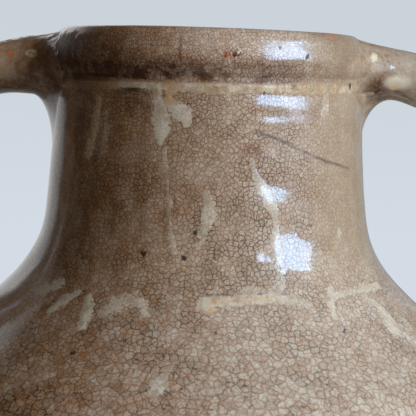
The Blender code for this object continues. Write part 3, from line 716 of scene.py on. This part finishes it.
# Thin touches of slip that are too slight to be solids
TOUCHES = (
    ((-36.7, 0.305, 1), (-36.3, 0.435, 1.2), (-37.2, 0.567, 1), (0.22, 0.3, 0.2), (0,) * 3),
    ((37.7, 1.469, 1.1), (39.3, 1.416, 1.1), (0.9, 0.7), (0,) * 2),
    ((11.3, 1.401, 0.8), (13.9, 1.391, 1), (16.7, 1.403, 0.8), (0.55, 0.6, 0.5), (0,) * 3),
    ((1, 1.405, 0.5), (5, 1.4, 0.6), (0.45, 0.45), (0,) * 2),
    ((-12, 0.905, 0.6), (-11.2, 0.972, 0.7), (0.45, 0.45), (0,) * 2),
    ((52.2, 1.5, 0.5), (54, 1.56, 0.8), (0.7, 0.8), (0,) * 2),
    ((3.2, 1.494, 0.9), (1.2, 1.506, 1), (0.85, 0.9), (1, 1)),
)
BACK_TRAILS = (
    ((-38, 0.15, 1.4), (-37.5, 0.38, 1.9), (-37, 0.6, 1.6), (0.8, 0.7, 0.8), (0.6, 0.3, 0.5)),
    ((-12, 0.15, 1.6), (-12.8, 0.4, 1), (-13.2, 0.7, 0.8), (-13.5, 0.95, 1.6), (0.8, 0.6, 0.4, 0.8),
     (0.1,) * 4),
    ((17, 0.175, 1.5), (18, 0.3, 2.6), (18, 0.4, 1.8), (0.8, 0.9, 0.8), (0.5, 0.2, 0.4)),
    ((43, 0.15, 1.2), (42.5, 0.5, 0.8), (42, 0.9, 1.2), (41, 1.15, 1.6), (0.7, 0.5, 0.6, 0.8),
     (0.4, 0.3, 0.3, 0.6)),
)
BACK_STROKES = (
    ((-54, 1.47, 2), (-44, 1.455, 1.6), (-34, 1.45, 1.4), (0.9, 0.9, 0.7), (0.4, 0.3, 0.1)),
    ((-24, 1.62, 1.2), (-23, 1.5, 1.5), (-19, 1.46, 1.6), (-11, 1.45, 1.2), (-4, 1.445, 1.5),
     (0.8, 0.9, 0.95, 0.7, 0.8), (0.1, 0.1, 0.2, 0.3, 0.1)),
    ((4, 1.5, 1.2), (5.5, 1.59, 1.8), (7, 1.68, 1.6), (0.7, 0.8, 0.8), (0.1,) * 3),
    ((18, 1.46, 1.8), (29, 1.448, 1.5), (40, 1.45, 1.7), (0.9, 0.9, 0.8), (0.5, 0.3, 0.1)),
    ((52, 1.49, 1.2), (53, 1.59, 1.7), (54, 1.68, 1.9), (0.6, 0.7, 0.7), (0,) * 3),
)
# Name of each set of slip marks, the turn of its side's middle, and its marks
SLIP_MARKS = (
    ("neck_trail_front", 0.0, FRONT_TRAILS), ("neck_trail_back", math.pi, BACK_TRAILS),
    ("shoulder_stroke_front", 0.0, FRONT_STROKES), ("shoulder_stroke_back", math.pi, BACK_STROKES),
)


def make_marks(base, facing, marks, material, solid=True):
    """Slip marks of one side, each standing for its CAD node unless it is a slight touch."""
    for number, (*points, cover, ochre) in enumerate(marks, 1):
        path = [
            (facing + math.radians(turn), float(level_run(level)), half / 1000)
            for turn, level, half in points
        ]
        name = f"{base}_{number}"
        values = {"slip": 0.72 if path[0][0] < -0.3 else 1.0, "cover": cover, "ochre": ochre}
        values["shine"] = 1.0 if name == "neck_trail_front_6" else 0.0
        height = 0.055 if solid else 0.03
        make_strip(name + "_look", path, height, name if solid else None, material, values)


def make_rim_lines(material):
    """Slip line under the rim band on each side."""
    span = np.radians(np.linspace(-70.5, 70.5, 95))
    turns = np.degrees(span)
    drop = 0.0036 + 0.00016 * np.sin(5 * span + 1) + 0.0001 * np.sin(13 * span)
    half = 0.00138 + 0.00015 * np.sin(9 * span + 2) + 0.00012 * np.sin(23 * span)
    cover = np.interp(turns, (-60, -44, -34, -28, 60.5, 62.5), (0.0, 0.3, 0.5, 0.95, 0.95, 0.0))
    ochre = 0.1 + 0.9 * bell(turns, -37, 5) + 0.85 * bell(turns, -11.5, 4.5)
    ochre += 0.4 * bell(turns, 5, 3) + 0.2 * bell(turns, 33, 6) + 0.12 * bell(turns, 52, 8)
    for name, facing in (("rim_line_front", 0.0), ("rim_line_back", math.pi)):
        path = list(zip(facing + span, drop, half))
        values = {"slip": 1.0, "cover": cover, "ochre": np.minimum(ochre, 1)}
        make_strip(name + "_look", path, 0.06, name, material, values)


def make_small_marks(material):
    """Hairline in the glaze and the dark arc under the slip line."""
    hair = [(16.0, 0.404), (23.5, 0.455), (32.9, 0.548), (44.4, 0.64), (59.0, 0.712)]
    arc = [(-34, 0.15), (-31.9, 0.142), (-28.7, 0.124), (-26.0, 0.111)]
    arc += [(-23.3, 0.121), (-20.7, 0.141), (-19.6, 0.17)]
    marks = (("hairline_look", hair, 0.00045, (0.45, 0.75, 0.55, 0.75, 0.45)),)
    marks += (("arc_look", arc, 0.00055, (0.1, 0.4, 1.0, 1.0, 0.9, 1.0, 0.4)),)
    for name, spots, half, soot in marks:
        path = [(math.radians(turn), float(level_run(level)), half) for turn, level in spots]
        make_strip(name, path, 0.0, None, material, {"soot": soot})


# Materials


def colour(red, green, blue):
    """Colour written as sRGB bytes, turned into the linear values that sockets take."""
    parts = (part / 255 for part in (red, green, blue))
    return (*(p / 12.92 if p <= 0.04045 else ((p + 0.055) / 1.055) ** 2.4 for p in parts), 1.0)


class Wire:
    """Output of a node, with the signs of arithmetic for numbers and for vectors."""

    def __init__(self, graph, socket):
        self.graph, self.socket = graph, socket

    def beside(self, name):
        """Another output of the same node."""
        return Wire(self.graph, self.socket.node.outputs[name])

    def math(self, operation, other=0.0, **settings):
        return self.graph.node("Math", {0: self, 1: other}, operation=operation, **settings)

    def combined(self, operation, other):
        if self.socket.type not in ("VECTOR", "RGBA"):
            return self.math(operation, other)
        other = (other,) * 3 if isinstance(other, float) else other
        return self.graph.node("VectorMath", {0: self, 1: other}, operation=operation)

    def __add__(self, other):
        return self.combined("ADD", other)

    def __sub__(self, other):
        return self.combined("SUBTRACT", other)

    def __mul__(self, other):
        return self.combined("MULTIPLY", other)

    def __truediv__(self, other):
        return self.combined("DIVIDE", other)

    def flipped(self):
        """What is left of one."""
        return self * -1.0 + 1.0

    def step(self, low, high, to_low=0.0, to_high=1.0, kind="SMOOTHSTEP"):
        """Rise from one level to another between two values."""
        inputs = {0: self, 1: low, 2: high, 3: to_low, 4: to_high}
        return self.graph.node("MapRange", inputs, interpolation_type=kind)


class Graph:
    """Short way to write a node tree."""

    def __init__(self, tree):
        self.tree = tree

    def put(self, socket, value):
        if isinstance(value, Wire):
            self.tree.links.new(value.socket, socket)
        else:
            socket.default_value = value

    def node(self, kind, inputs=None, out=0, **settings):
        made = self.tree.nodes.new("ShaderNode" + kind)
        for key, value in settings.items():
            setattr(made, key, value)
        for key, value in (inputs or {}).items():
            self.put(made.inputs[key], value)
        return Wire(self, made.outputs[out])

    def mix(self, share, a, b):
        """Colour on the way from one to another, a plain one written as three sRGB bytes."""
        a, b = (colour(*end) if isinstance(end, tuple) else end for end in (a, b))
        return self.node("Mix", {0: share, 6: a, 7: b}, 2, data_type="RGBA")

    def noise(self, place, scale, detail, rough, out="Fac"):
        inputs = {"Vector": place, "Scale": scale, "Detail": detail, "Roughness": rough}
        return self.node("TexNoise", inputs, out, noise_dimensions="3D")

    def cells(self, place, scale, out="Distance", feature="F1"):
        inputs = {"Vector": place, "Scale": scale, "Randomness": 1.0}
        return self.node("TexVoronoi", inputs, out, voronoi_dimensions="2D", feature=feature)


def new_material(name):
    """Material, its graph and the inputs of its shader."""
    material = bpy.data.materials.new(name)
    material.use_nodes = True
    return material, Graph(material.node_tree), material.node_tree.nodes["Principled BSDF"].inputs


# Scale of the craze network in cells to a radian round the neck, and the turn where a mottle replaces it
CRAZE, REAR_TURN = 37.0, 2.55
# Heights between which the shoulder gives way to the neck, and the neck to the slip line
SHOULDER_TOP, LINE_FOOT = (0.24, 0.262), (0.302, 0.307)

# Specks and small flaws: middle and reach in millimetres, colour and strength
SPECKS = (
    (-20.5, -60, 252.7, 1.2, 2, 0.9, (40, 26, 20), 0.95),
    (-6.6, -63.3, 251.9, 1.1, 2, 1, (44, 34, 30), 0.95),
    (-41.8, -77.1, 221.9, 1, 2, 1, (36, 22, 14), 0.95),
    (4.3, -78.4, 230.1, 0.8, 2, 0.7, (46, 44, 44), 0.9),
    (23.9, -53.3, 322.6, 0.7, 3, 0.7, (70, 74, 92), 0.8),
    (33.5, -48.6, 320.3, 0.6, 3, 0.8, (60, 52, 46), 0.85),
    (-3.4, -61.7, 260.2, 1.2, 3, 0.9, (52, 56, 40), 0.95),
    (-5.5, -58, 270, 0.9, 3, 0.9, (50, 44, 36), 0.9),
    (47.6, -64.1, 228.9, 0.9, 2, 0.8, (52, 74, 96), 0.9),
    (14, -96.5, 214.3, 1, 2, 0.8, (96, 108, 116), 0.9),
    (36.1, -49.8, 262.3, 0.8, 2, 0.7, (92, 84, 76), 0.9),
    (18.6, -54.9, 307.8, 0.6, 2, 1, (40, 44, 50), 0.9),
    (6.2, -59, 320.4, 1.4, 4, 1.2, (150, 60, 30), 0.95),
    (9.2, -58.8, 320.6, 1.5, 4, 1.4, (110, 50, 34), 0.95),
    (8.4, -58.8, 319.9, 0.7, 4, 0.6, (30, 20, 18), 0.95),
    # The next two pale dots in the rust spot are painted glints.
    (9.8, -58.8, 321.2, 0.6, 4, 0.5, (228, 222, 216), 0.9),
    (7.5, -58.8, 321, 0.5, 4, 0.4, (222, 214, 206), 0.9),
    (-9.7, -58.7, 320, 0.7, 4, 10, (92, 48, 26), 0.6),
    (16, -56.9, 289, 3, 4, 2.6, (126, 84, 62), 0.65),
    (50.7, -28, 310.3, 1.2, 1.6, 1.3, (44, 44, 40), 0.95),
    (47.8, -39.5, 258.7, 1, 2, 2.4, (214, 208, 198), 0.6),
    (-66.2, -13, 319.6, 2.6, 7, 1.8, (196, 186, 140), 0.7),
    (-75, -13, 319.2, 3, 7, 0.6, (196, 108, 46), 0.95),
    (-74.2, -13, 318.6, 0.6, 7, 2.2, (196, 108, 46), 0.95),
    (61, -13, 321, 1.9, 7, 1.9, (226, 224, 200), 0.8),
    (4, -57.2, 309.6, 2.4, 4, 0.5, (150, 98, 48), 0.8),
    (9.2, -57, 309.9, 1.6, 4, 0.5, (156, 108, 56), 0.8),
    (29, -50, 309.8, 1.2, 4, 0.6, (140, 96, 52), 0.75),
    (70.3, -13, 311.8, 5.4, 7, 3, (234, 230, 214), 0.8),
    (69.4, -13, 310.4, 2.2, 7, 1.1, (236, 206, 158), 0.8),
)


def speckled(g, base, spot, wander, grain):
    """Base colour with the specks laid over it, their edges wandering, and where they are dark."""
    loose = spot + wander * 0.0022 + (grain - 0.5) * 0.0022
    pits = 0.0
    for *numbers, tone, strength in SPECKS:
        middle, reach = (tuple(n / 1000 for n in part) for part in (numbers[:3], numbers[3:]))
        away = g.node("VectorMath", {0: (loose - middle) / reach}, "Value", operation="LENGTH")
        share = away.step(0.5, 1.2, strength, 0.0)
        if numbers[3] > 1.2 and max(tone) < 200:
            share = share * grain.step(0.42, 0.56, 0.15, 1.0)
        base = g.mix(share, base, tone)
        if max(tone) < 100:
            pits = share.math("MAXIMUM", pits)
    return base, pits


def craze_lines(g, n):
    """Strength of the craze lines, brown glow beside them and a tint for each cell.

    Behind the jug every cell is read at one spot of the map, so that only the warps show there.
    """
    middle = (0.5, 0.5, 0.5)
    warp = (g.noise(n.spot, 330.0, 2.0, 0.5, "Color") - middle) * 0.022
    jag = (g.noise(n.spot, 1150.0, 1.0, 0.5, "Color") - middle) * 0.009
    turn = g.node("SeparateXYZ", {0: n.front}, "X").math("ABSOLUTE")
    behind = (turn + (n.patch - 0.5) * 0.5).step(REAR_TURN, REAR_TURN + 0.01)
    flat = g.node("Mix", {0: behind, 4: n.rear}, 1, data_type="VECTOR") + (warp + jag)
    edge = g.cells(flat, CRAZE, feature="DISTANCE_TO_EDGE")
    finer = g.cells(flat + (3.1, 1.7, 0.0), CRAZE * 1.75, feature="DISTANCE_TO_EDGE")
    tint = g.node("SeparateColor", {0: g.cells(flat, CRAZE, "Color")})
    core = edge.step(n.fleck.step(0.3, 0.7, 0.015, 0.0), n.fleck.step(0.3, 0.7, 0.145, 0.1), 1.0, 0.0)
    fine = finer.step(0.0, 0.16, 1.0, 0.0)
    uneven = n.patch.step(0.34, 0.6, 0.72, 1.0) * n.broad.step(0.36, 0.6, 0.8, 1.0)
    spread = n.patch.step(0.3, 0.7, 0.55, 1.0) * n.height.step(0.235, 0.285, 0.74, 0.86)
    spread = spread.math("MAXIMUM", n.height.step(0.305, 0.32))
    lines = (core * uneven).math("MAXIMUM", fine * spread) * n.grain.step(0.34, 0.5, 0.7, 1.0)
    glow = edge.step(0.0, 0.34, 1.0, 0.0) * uneven
    return lines, glow, tint


def crackle_colour(g, n):
    """Buff glaze with its stains, painted shade and painted sheen, and craze."""
    blotch = n.patch * 0.5 + n.fleck * 0.3 + n.grain * 0.2
    # Share of brown from staining and painted shade, broken up by the blotches.
    stain_and_shade_share = n.stain * blotch.step(0.4, 0.58, 0.35, 1.15)
    buff = g.mix(n.patch.step(0.35, 0.65), (208, 200, 188), (200, 188, 171))
    buff = g.mix(n.broad.step(0.36, 0.66) * 0.5, buff, (196, 189, 178))
    # Paler, greyer glaze: partly its own tone, partly painted sheen on the shoulder and the upper rim band.
    buff = g.mix(n.pale * 0.9, buff, (220, 219, 212))
    buff = g.mix(n.tint.step(0.2, 0.8) * 0.36, buff, (160, 145, 125))
    buff = g.mix(n.grain.step(0.35, 0.75) * 0.2, buff, (152, 124, 98))
    warm_buff = g.mix(n.tint.step(0.1, 0.9), (170, 132, 90), (144, 102, 60))
    # Browner on the left: partly the glaze's own brown, partly painted shade on the side away from the
    # window.
    buff = g.mix(n.warm * blotch.step(0.4, 0.6, 0.6, 1.0), buff, warm_buff)
    buff = g.mix(n.faint * 0.42, buff, (156, 148, 130))
    buff = g.mix(n.streak.step(0.48, 0.66) * (n.warm * 0.3 + 0.08), buff, (104, 70, 44))
    brown = g.mix(n.fleck.step(0.35, 0.65), (100, 52, 24), (60, 31, 15))
    base = g.mix(n.glow * (n.stain * 0.3 + 0.28), buff, (154, 106, 62))
    base = g.mix(stain_and_shade_share.math("MINIMUM", 0.96), base, brown)
    clump = n.patch * 0.5 + n.broad * 0.5 + n.height.step(*SHOULDER_TOP, 0.0, -0.04)
    dark = g.mix(n.height.step(0.262, 0.276), (58, 28, 6), (88, 42, 14))
    line = g.mix(clump.step(0.46, 0.54), (116, 58, 4), dark)
    line = g.mix(n.pale * n.fleck.step(0.4, 0.62), line, (150, 80, 8))
    # Craze lines darker on the left and where the brown lies: partly their own colour, partly painted shade.
    line = g.mix(n.warm * n.fleck.step(0.36, 0.62, 0.8, 0.2), line, (56, 28, 8))
    line = g.mix(n.faint, line, (142, 108, 74))
    line = g.mix(n.stain, line, (40, 20, 9))
    umber = clump.step(0.45, 0.54, 0.0, 0.22) * n.height.step(*SHOULDER_TOP, 1.0, 0.2)
    umber = umber * (n.pale * -0.55 + 1.0) * n.faint.flipped()
    base = g.mix(umber, base, (134, 98, 66))
    soft = n.faint * 0.52 + n.pale * (n.warm * -0.35 + 0.3)
    return g.mix(n.lines * soft.flipped(), base, line)


def slip_share(n):
    """Ragged outline of the slip, and how far it hides the glaze under it."""
    edge_noise = (n.fleck - 0.5) * 1.5 + (n.patch - 0.5) * 0.5 + (n.grain - 0.5)
    shape = (n.slip + edge_noise).step(0.28, 0.6) * n.slip.step(0.02, 0.22)
    thin = n.cover + (n.fleck - 0.5) * n.cover.step(0.5, 1.0, 1.8, 0.3)
    thin = thin + (n.grain - 0.5) * n.cover.step(0.5, 1.0, 1.6, 0.2)
    return shape, shape.math("MULTIPLY", thin.math("MAXIMUM"), use_clamp=True)


def slip_colour(g, n):
    """Cream of the slip: whiter on the neck, aged and ochre on the line under the rim."""
    on_line = n.height.step(*LINE_FOOT)
    cream = g.mix(n.fleck.step(0.35, 0.65), (219, 217, 207), (198, 193, 180))
    aged = g.mix(n.patch.step(0.4, 0.56), (222, 218, 208), (206, 197, 176))
    aged = g.mix(n.fleck.step(0.35, 0.65), aged, (180, 168, 146))
    cream = g.mix(on_line, cream, aged)
    rusty = (n.streak * 0.4 + n.patch * 0.6).step(0.5, 0.58, 0.0, 0.38)
    cream = g.mix(on_line * rusty, cream, (176, 132, 76))
    tan = n.ochre * 0.62 + n.fleck * 0.45 + (n.slip - 1.0) * 0.55
    tan_tone = g.mix(on_line, (224, 187, 140), (190, 138, 76))
    cream = g.mix(tan.step(0.42, 0.7) * 0.62, cream, tan_tone)
    greyed = (n.fleck + n.patch * 0.4).step(0.72, 0.86) * 0.5
    cream = g.mix(greyed, cream, (158, 144, 132))
    cream = g.mix(n.lines * n.height.step(*LINE_FOOT, 0.3, 0.46), cream, (132, 88, 52))
    # Slip browner on the left and darker where the brown lies: partly staining, partly painted shade.
    cream = g.mix(n.warm * 0.25, cream, (172, 140, 92))
    return g.mix(n.stain * 0.6, cream, (112, 76, 42))


def glaze_sources(g):
    """Values painted on the mesh and the noises that the glaze is made of."""
    n = SimpleNamespace()
    for name in ("stain", "warm", "pale", "faint", "wear", "dull", "slip", "cover", "ochre", "soot", "shine"):
        setattr(n, name, g.node("Attribute", None, "Fac", attribute_name=name))
    n.front = g.node("UVMap", uv_map="craze")
    n.rear = g.node("UVMap", uv_map="craze_back")
    n.spot = g.node("TexCoord", None, "Object")
    n.height = g.node("SeparateXYZ", {0: n.spot}, "Z")
    n.broad = g.noise(n.spot, 26.0, 3.0, 0.55)
    n.patch = g.noise(n.spot, 95.0, 3.0, 0.6)
    n.fleck = g.noise(n.spot, 320.0, 3.0, 0.6)
    n.wander = n.fleck.beside("Color") - (0.5, 0.5, 0.5)
    n.grain = g.noise(n.spot, 900.0, 2.0, 0.6)
    n.streak = g.noise(n.spot * (1.0, 1.0, 0.12), 170.0, 3.0, 0.6)
    n.lines, n.glow, n.tint = craze_lines(g, n)
    return n


def glaze_material():
    """Crackle glaze over buff clay, with slip, stains, painted shade and sheen, and specks with two painted
    glints, read from the mesh.
    """
    material, g, shader = new_material("crackle_glaze_look")
    n = glaze_sources(g)
    shape, cream_share = slip_share(n)
    base = g.mix(cream_share * 0.96, crackle_colour(g, n), slip_colour(g, n))
    stray = g.cells(n.front + (9.3, 4.1, 0.0), 9.0).step(0.022, 0.042, 0.8, 0.0)
    base = g.mix(stray * n.patch.step(0.5, 0.58), base, (46, 32, 24))
    red_clay = g.mix(n.grain.step(0.3, 0.7), (150, 96, 70), (178, 128, 100))
    base = g.mix(n.wear * n.patch.step(0.35, 0.55), base, red_clay)
    base, pits = speckled(g, base, n.spot, n.wander, n.grain)
    base = g.mix(n.soot * n.fleck.step(0.3, 0.6, 0.5, 0.95), base, (46, 38, 38))
    worn = (n.dull + (n.fleck - 0.5) * 1.2).step(0.3, 0.5)
    matt = cream_share * (n.shine * n.grain.step(0.36, 0.54, 0.0, -0.95) + 0.95)
    for other in (n.wear.step(0.1, 0.6), worn, pits.step(0.3, 0.8), n.soot):
        matt = matt.math("MAXIMUM", other)
    swell = g.noise(n.spot, 150.0, 2.0, 0.5)
    rise = swell * 0.09 + n.fleck * 0.032 + n.lines * -0.006 + n.grain * 0.006
    rise = rise + shape * (n.grain * 0.05 + 0.012)
    bump = g.node("Bump", {"Strength": 1.0, "Distance": 0.001, "Height": rise})
    looks = {
        "Base Color": base,
        "Roughness": n.grain.step(0.3, 0.8, 0.3, 0.38) + n.wear * 0.3 + worn * 0.16,
        "IOR": 1.5,
        "Specular IOR Level": 0.3,
        "Coat Weight": matt.step(0.0, 1.0, 1.0, 0.0),
        "Coat Roughness": 0.06,
        "Coat IOR": 1.6,
        "Normal": bump,
        "Coat Normal": bump,
    }
    for name, value in looks.items():
        g.put(shader[name], value)
    return material


def clay_material():
    """Unglazed fired clay of the foot ring."""
    material, g, shader = new_material("bare_clay_look")
    spot = g.node("TexCoord", None, "Object")
    broad, grain = g.noise(spot, 60.0, 4.0, 0.6), g.noise(spot, 900.0, 3.0, 0.6)
    base = g.mix(broad.step(0.35, 0.65), (150, 112, 82), (178, 146, 112))
    g.put(shader["Base Color"], g.mix(grain.step(0.45, 0.75, 0.0, 0.5), base, (96, 70, 52)))
    shader["Roughness"].default_value = 0.85
    g.put(shader["Normal"], g.node("Bump", {"Strength": 0.7, "Distance": 0.0004, "Height": grain}))
    return material


# Stage, light and camera


def make_world():
    """Pale backdrop for the camera, dim light from all round, and what the glaze mirrors."""
    world = bpy.data.worlds.new("studio")
    bpy.context.scene.world = world
    world.use_nodes = True
    world.node_tree.nodes.clear()
    g = Graph(world.node_tree)
    way = g.node("SeparateXYZ", {0: g.node("TexCoord", None, "Generated")}, "X")
    back, up = way.beside("Y"), way.beside("Z")
    ends = {0: up.step(0.04, -0.14, kind="LINEAR"), 6: HIGH_BACKDROP, 7: LIGHT_BACKDROP}
    backdrop = g.node("Mix", ends, 2, data_type="RGBA")
    seen = g.node("Background", {"Color": backdrop})
    bright = back.step(0.42, 0.5, 0.0, 0.43) * up.step(0.1, 0.26, 1.0, 2.3)
    low_left = way.step(0.02, -0.18) * up.step(0.66, 0.44)
    glare = bright * low_left + back.step(0.55, 0.98, 0.03, 0.46)
    mirrored = g.node("Background", {"Color": (0.7, 0.7, 0.7, 1.0), "Strength": glare})
    around = g.node("Background", {"Color": (1.0, 0.93, 0.84, 1.0), "Strength": 0.035})
    glossy = g.node("LightPath", None, "Is Glossy Ray")
    mirror_ray = glossy.math("MAXIMUM", glossy.beside("Is Transmission Ray"))
    unseen = g.node("MixShader", {0: mirror_ray, 1: around, 2: mirrored})
    shown = g.node("MixShader", {0: glossy.beside("Is Camera Ray"), 1: unseen, 2: seen})
    g.put(g.tree.nodes.new("ShaderNodeOutputWorld").inputs["Surface"], shown)


def make_floor():
    """Plain pale floor under the jug."""
    mesh = bpy.data.meshes.new("floor")
    turns = np.linspace(0, 2 * math.pi, 96, endpoint=False)
    points = np.stack([np.cos(turns), np.sin(turns), 0 * turns - 0.0002], -1)
    mesh.from_pydata(points.tolist(), [], [list(range(96))])
    material, _, shader = new_material("floor_finish")
    shader["Base Color"].default_value = (0.5, 0.48, 0.45, 1.0)
    shader["Roughness"].default_value = 0.7
    mesh.materials.append(material)
    floor = add_object("floor", mesh)


def lamp(name, azimuth, elevation, distance, size, power, tone, mirrored=True, lights=True):
    """Rectangular soft lamp that faces the neck, placed by its angles from the camera's side."""
    data = bpy.data.lights.new(name, "AREA")
    data.shape = "RECTANGLE"
    data.size, data.size_y = size
    data.energy, data.color = power, tone
    light = add_object(name, data)
    a, e = math.radians(azimuth), math.radians(elevation)
    way = np.array([math.sin(a) * math.cos(e), -math.cos(a) * math.cos(e), math.sin(e)])
    light.location = np.array([0.0, 0.0, LAMP_TARGET]) + distance * way
    side = (math.cos(a), math.sin(a), 0.0)
    up = (-math.sin(a) * math.sin(e), math.cos(a) * math.sin(e), math.cos(e))
    light.rotation_mode = "QUATERNION"
    light.rotation_quaternion = Matrix((side, up, way)).transposed().to_quaternion()
    light.visible_glossy, light.visible_diffuse = mirrored, lights


def make_lights():
    """Window at the front right with the pane that mirrors show, and weak fill behind and in front."""
    lamp("window", 56, 21.5, 2.0, (1.35, 1.0), 46.0, (1.0, 0.99, 0.97), mirrored=False)
    lamp("window_pane", 60, 21.5, 2.0, (1.18, 1.05), 37.5, (0.43, 0.67, 1.0), lights=False)
    lamp("fill_back", 180, 5, 2.2, (1.2, 0.7), 18.0, (1.0, 0.97, 0.93), mirrored=False)
    lamp("fill_front", 0, 25, 2.2, (1.8, 1.4), 3.0, (1.0, 0.94, 0.84), mirrored=False)


def make_camera():
    """Camera at the photo's place and angle."""
    data = bpy.data.cameras.new("camera")
    data.lens, data.sensor_width, data.clip_start = 98.47, 36.0, 0.01
    camera = add_object("camera", data)
    tilt = Matrix.Rotation(math.radians(90 - CAMERA_FALL), 4, "X")
    roll = Matrix.Rotation(math.radians(CAMERA_ROLL), 4, "Z")
    camera.matrix_world = Matrix.Translation(CAMERA_PLACE) @ tilt @ roll
    bpy.context.scene.camera = camera


bpy.context.scene.view_settings.view_transform = "Standard"
make_camera()
make_world()
make_floor()
make_lights()
glaze = glaze_material()
make_walls(glaze)
for handle_name, handle_roll in ROLLS.items():
    make_handle(handle_name, handle_roll, glaze)
make_foot(clay_material())
make_rim_lines(glaze)
for marks_name, side_turn, side_marks in SLIP_MARKS:
    make_marks(marks_name, side_turn, side_marks, glaze)
make_marks("slip_touch", 0.0, TOUCHES, glaze, solid=False)
make_small_marks(glaze)
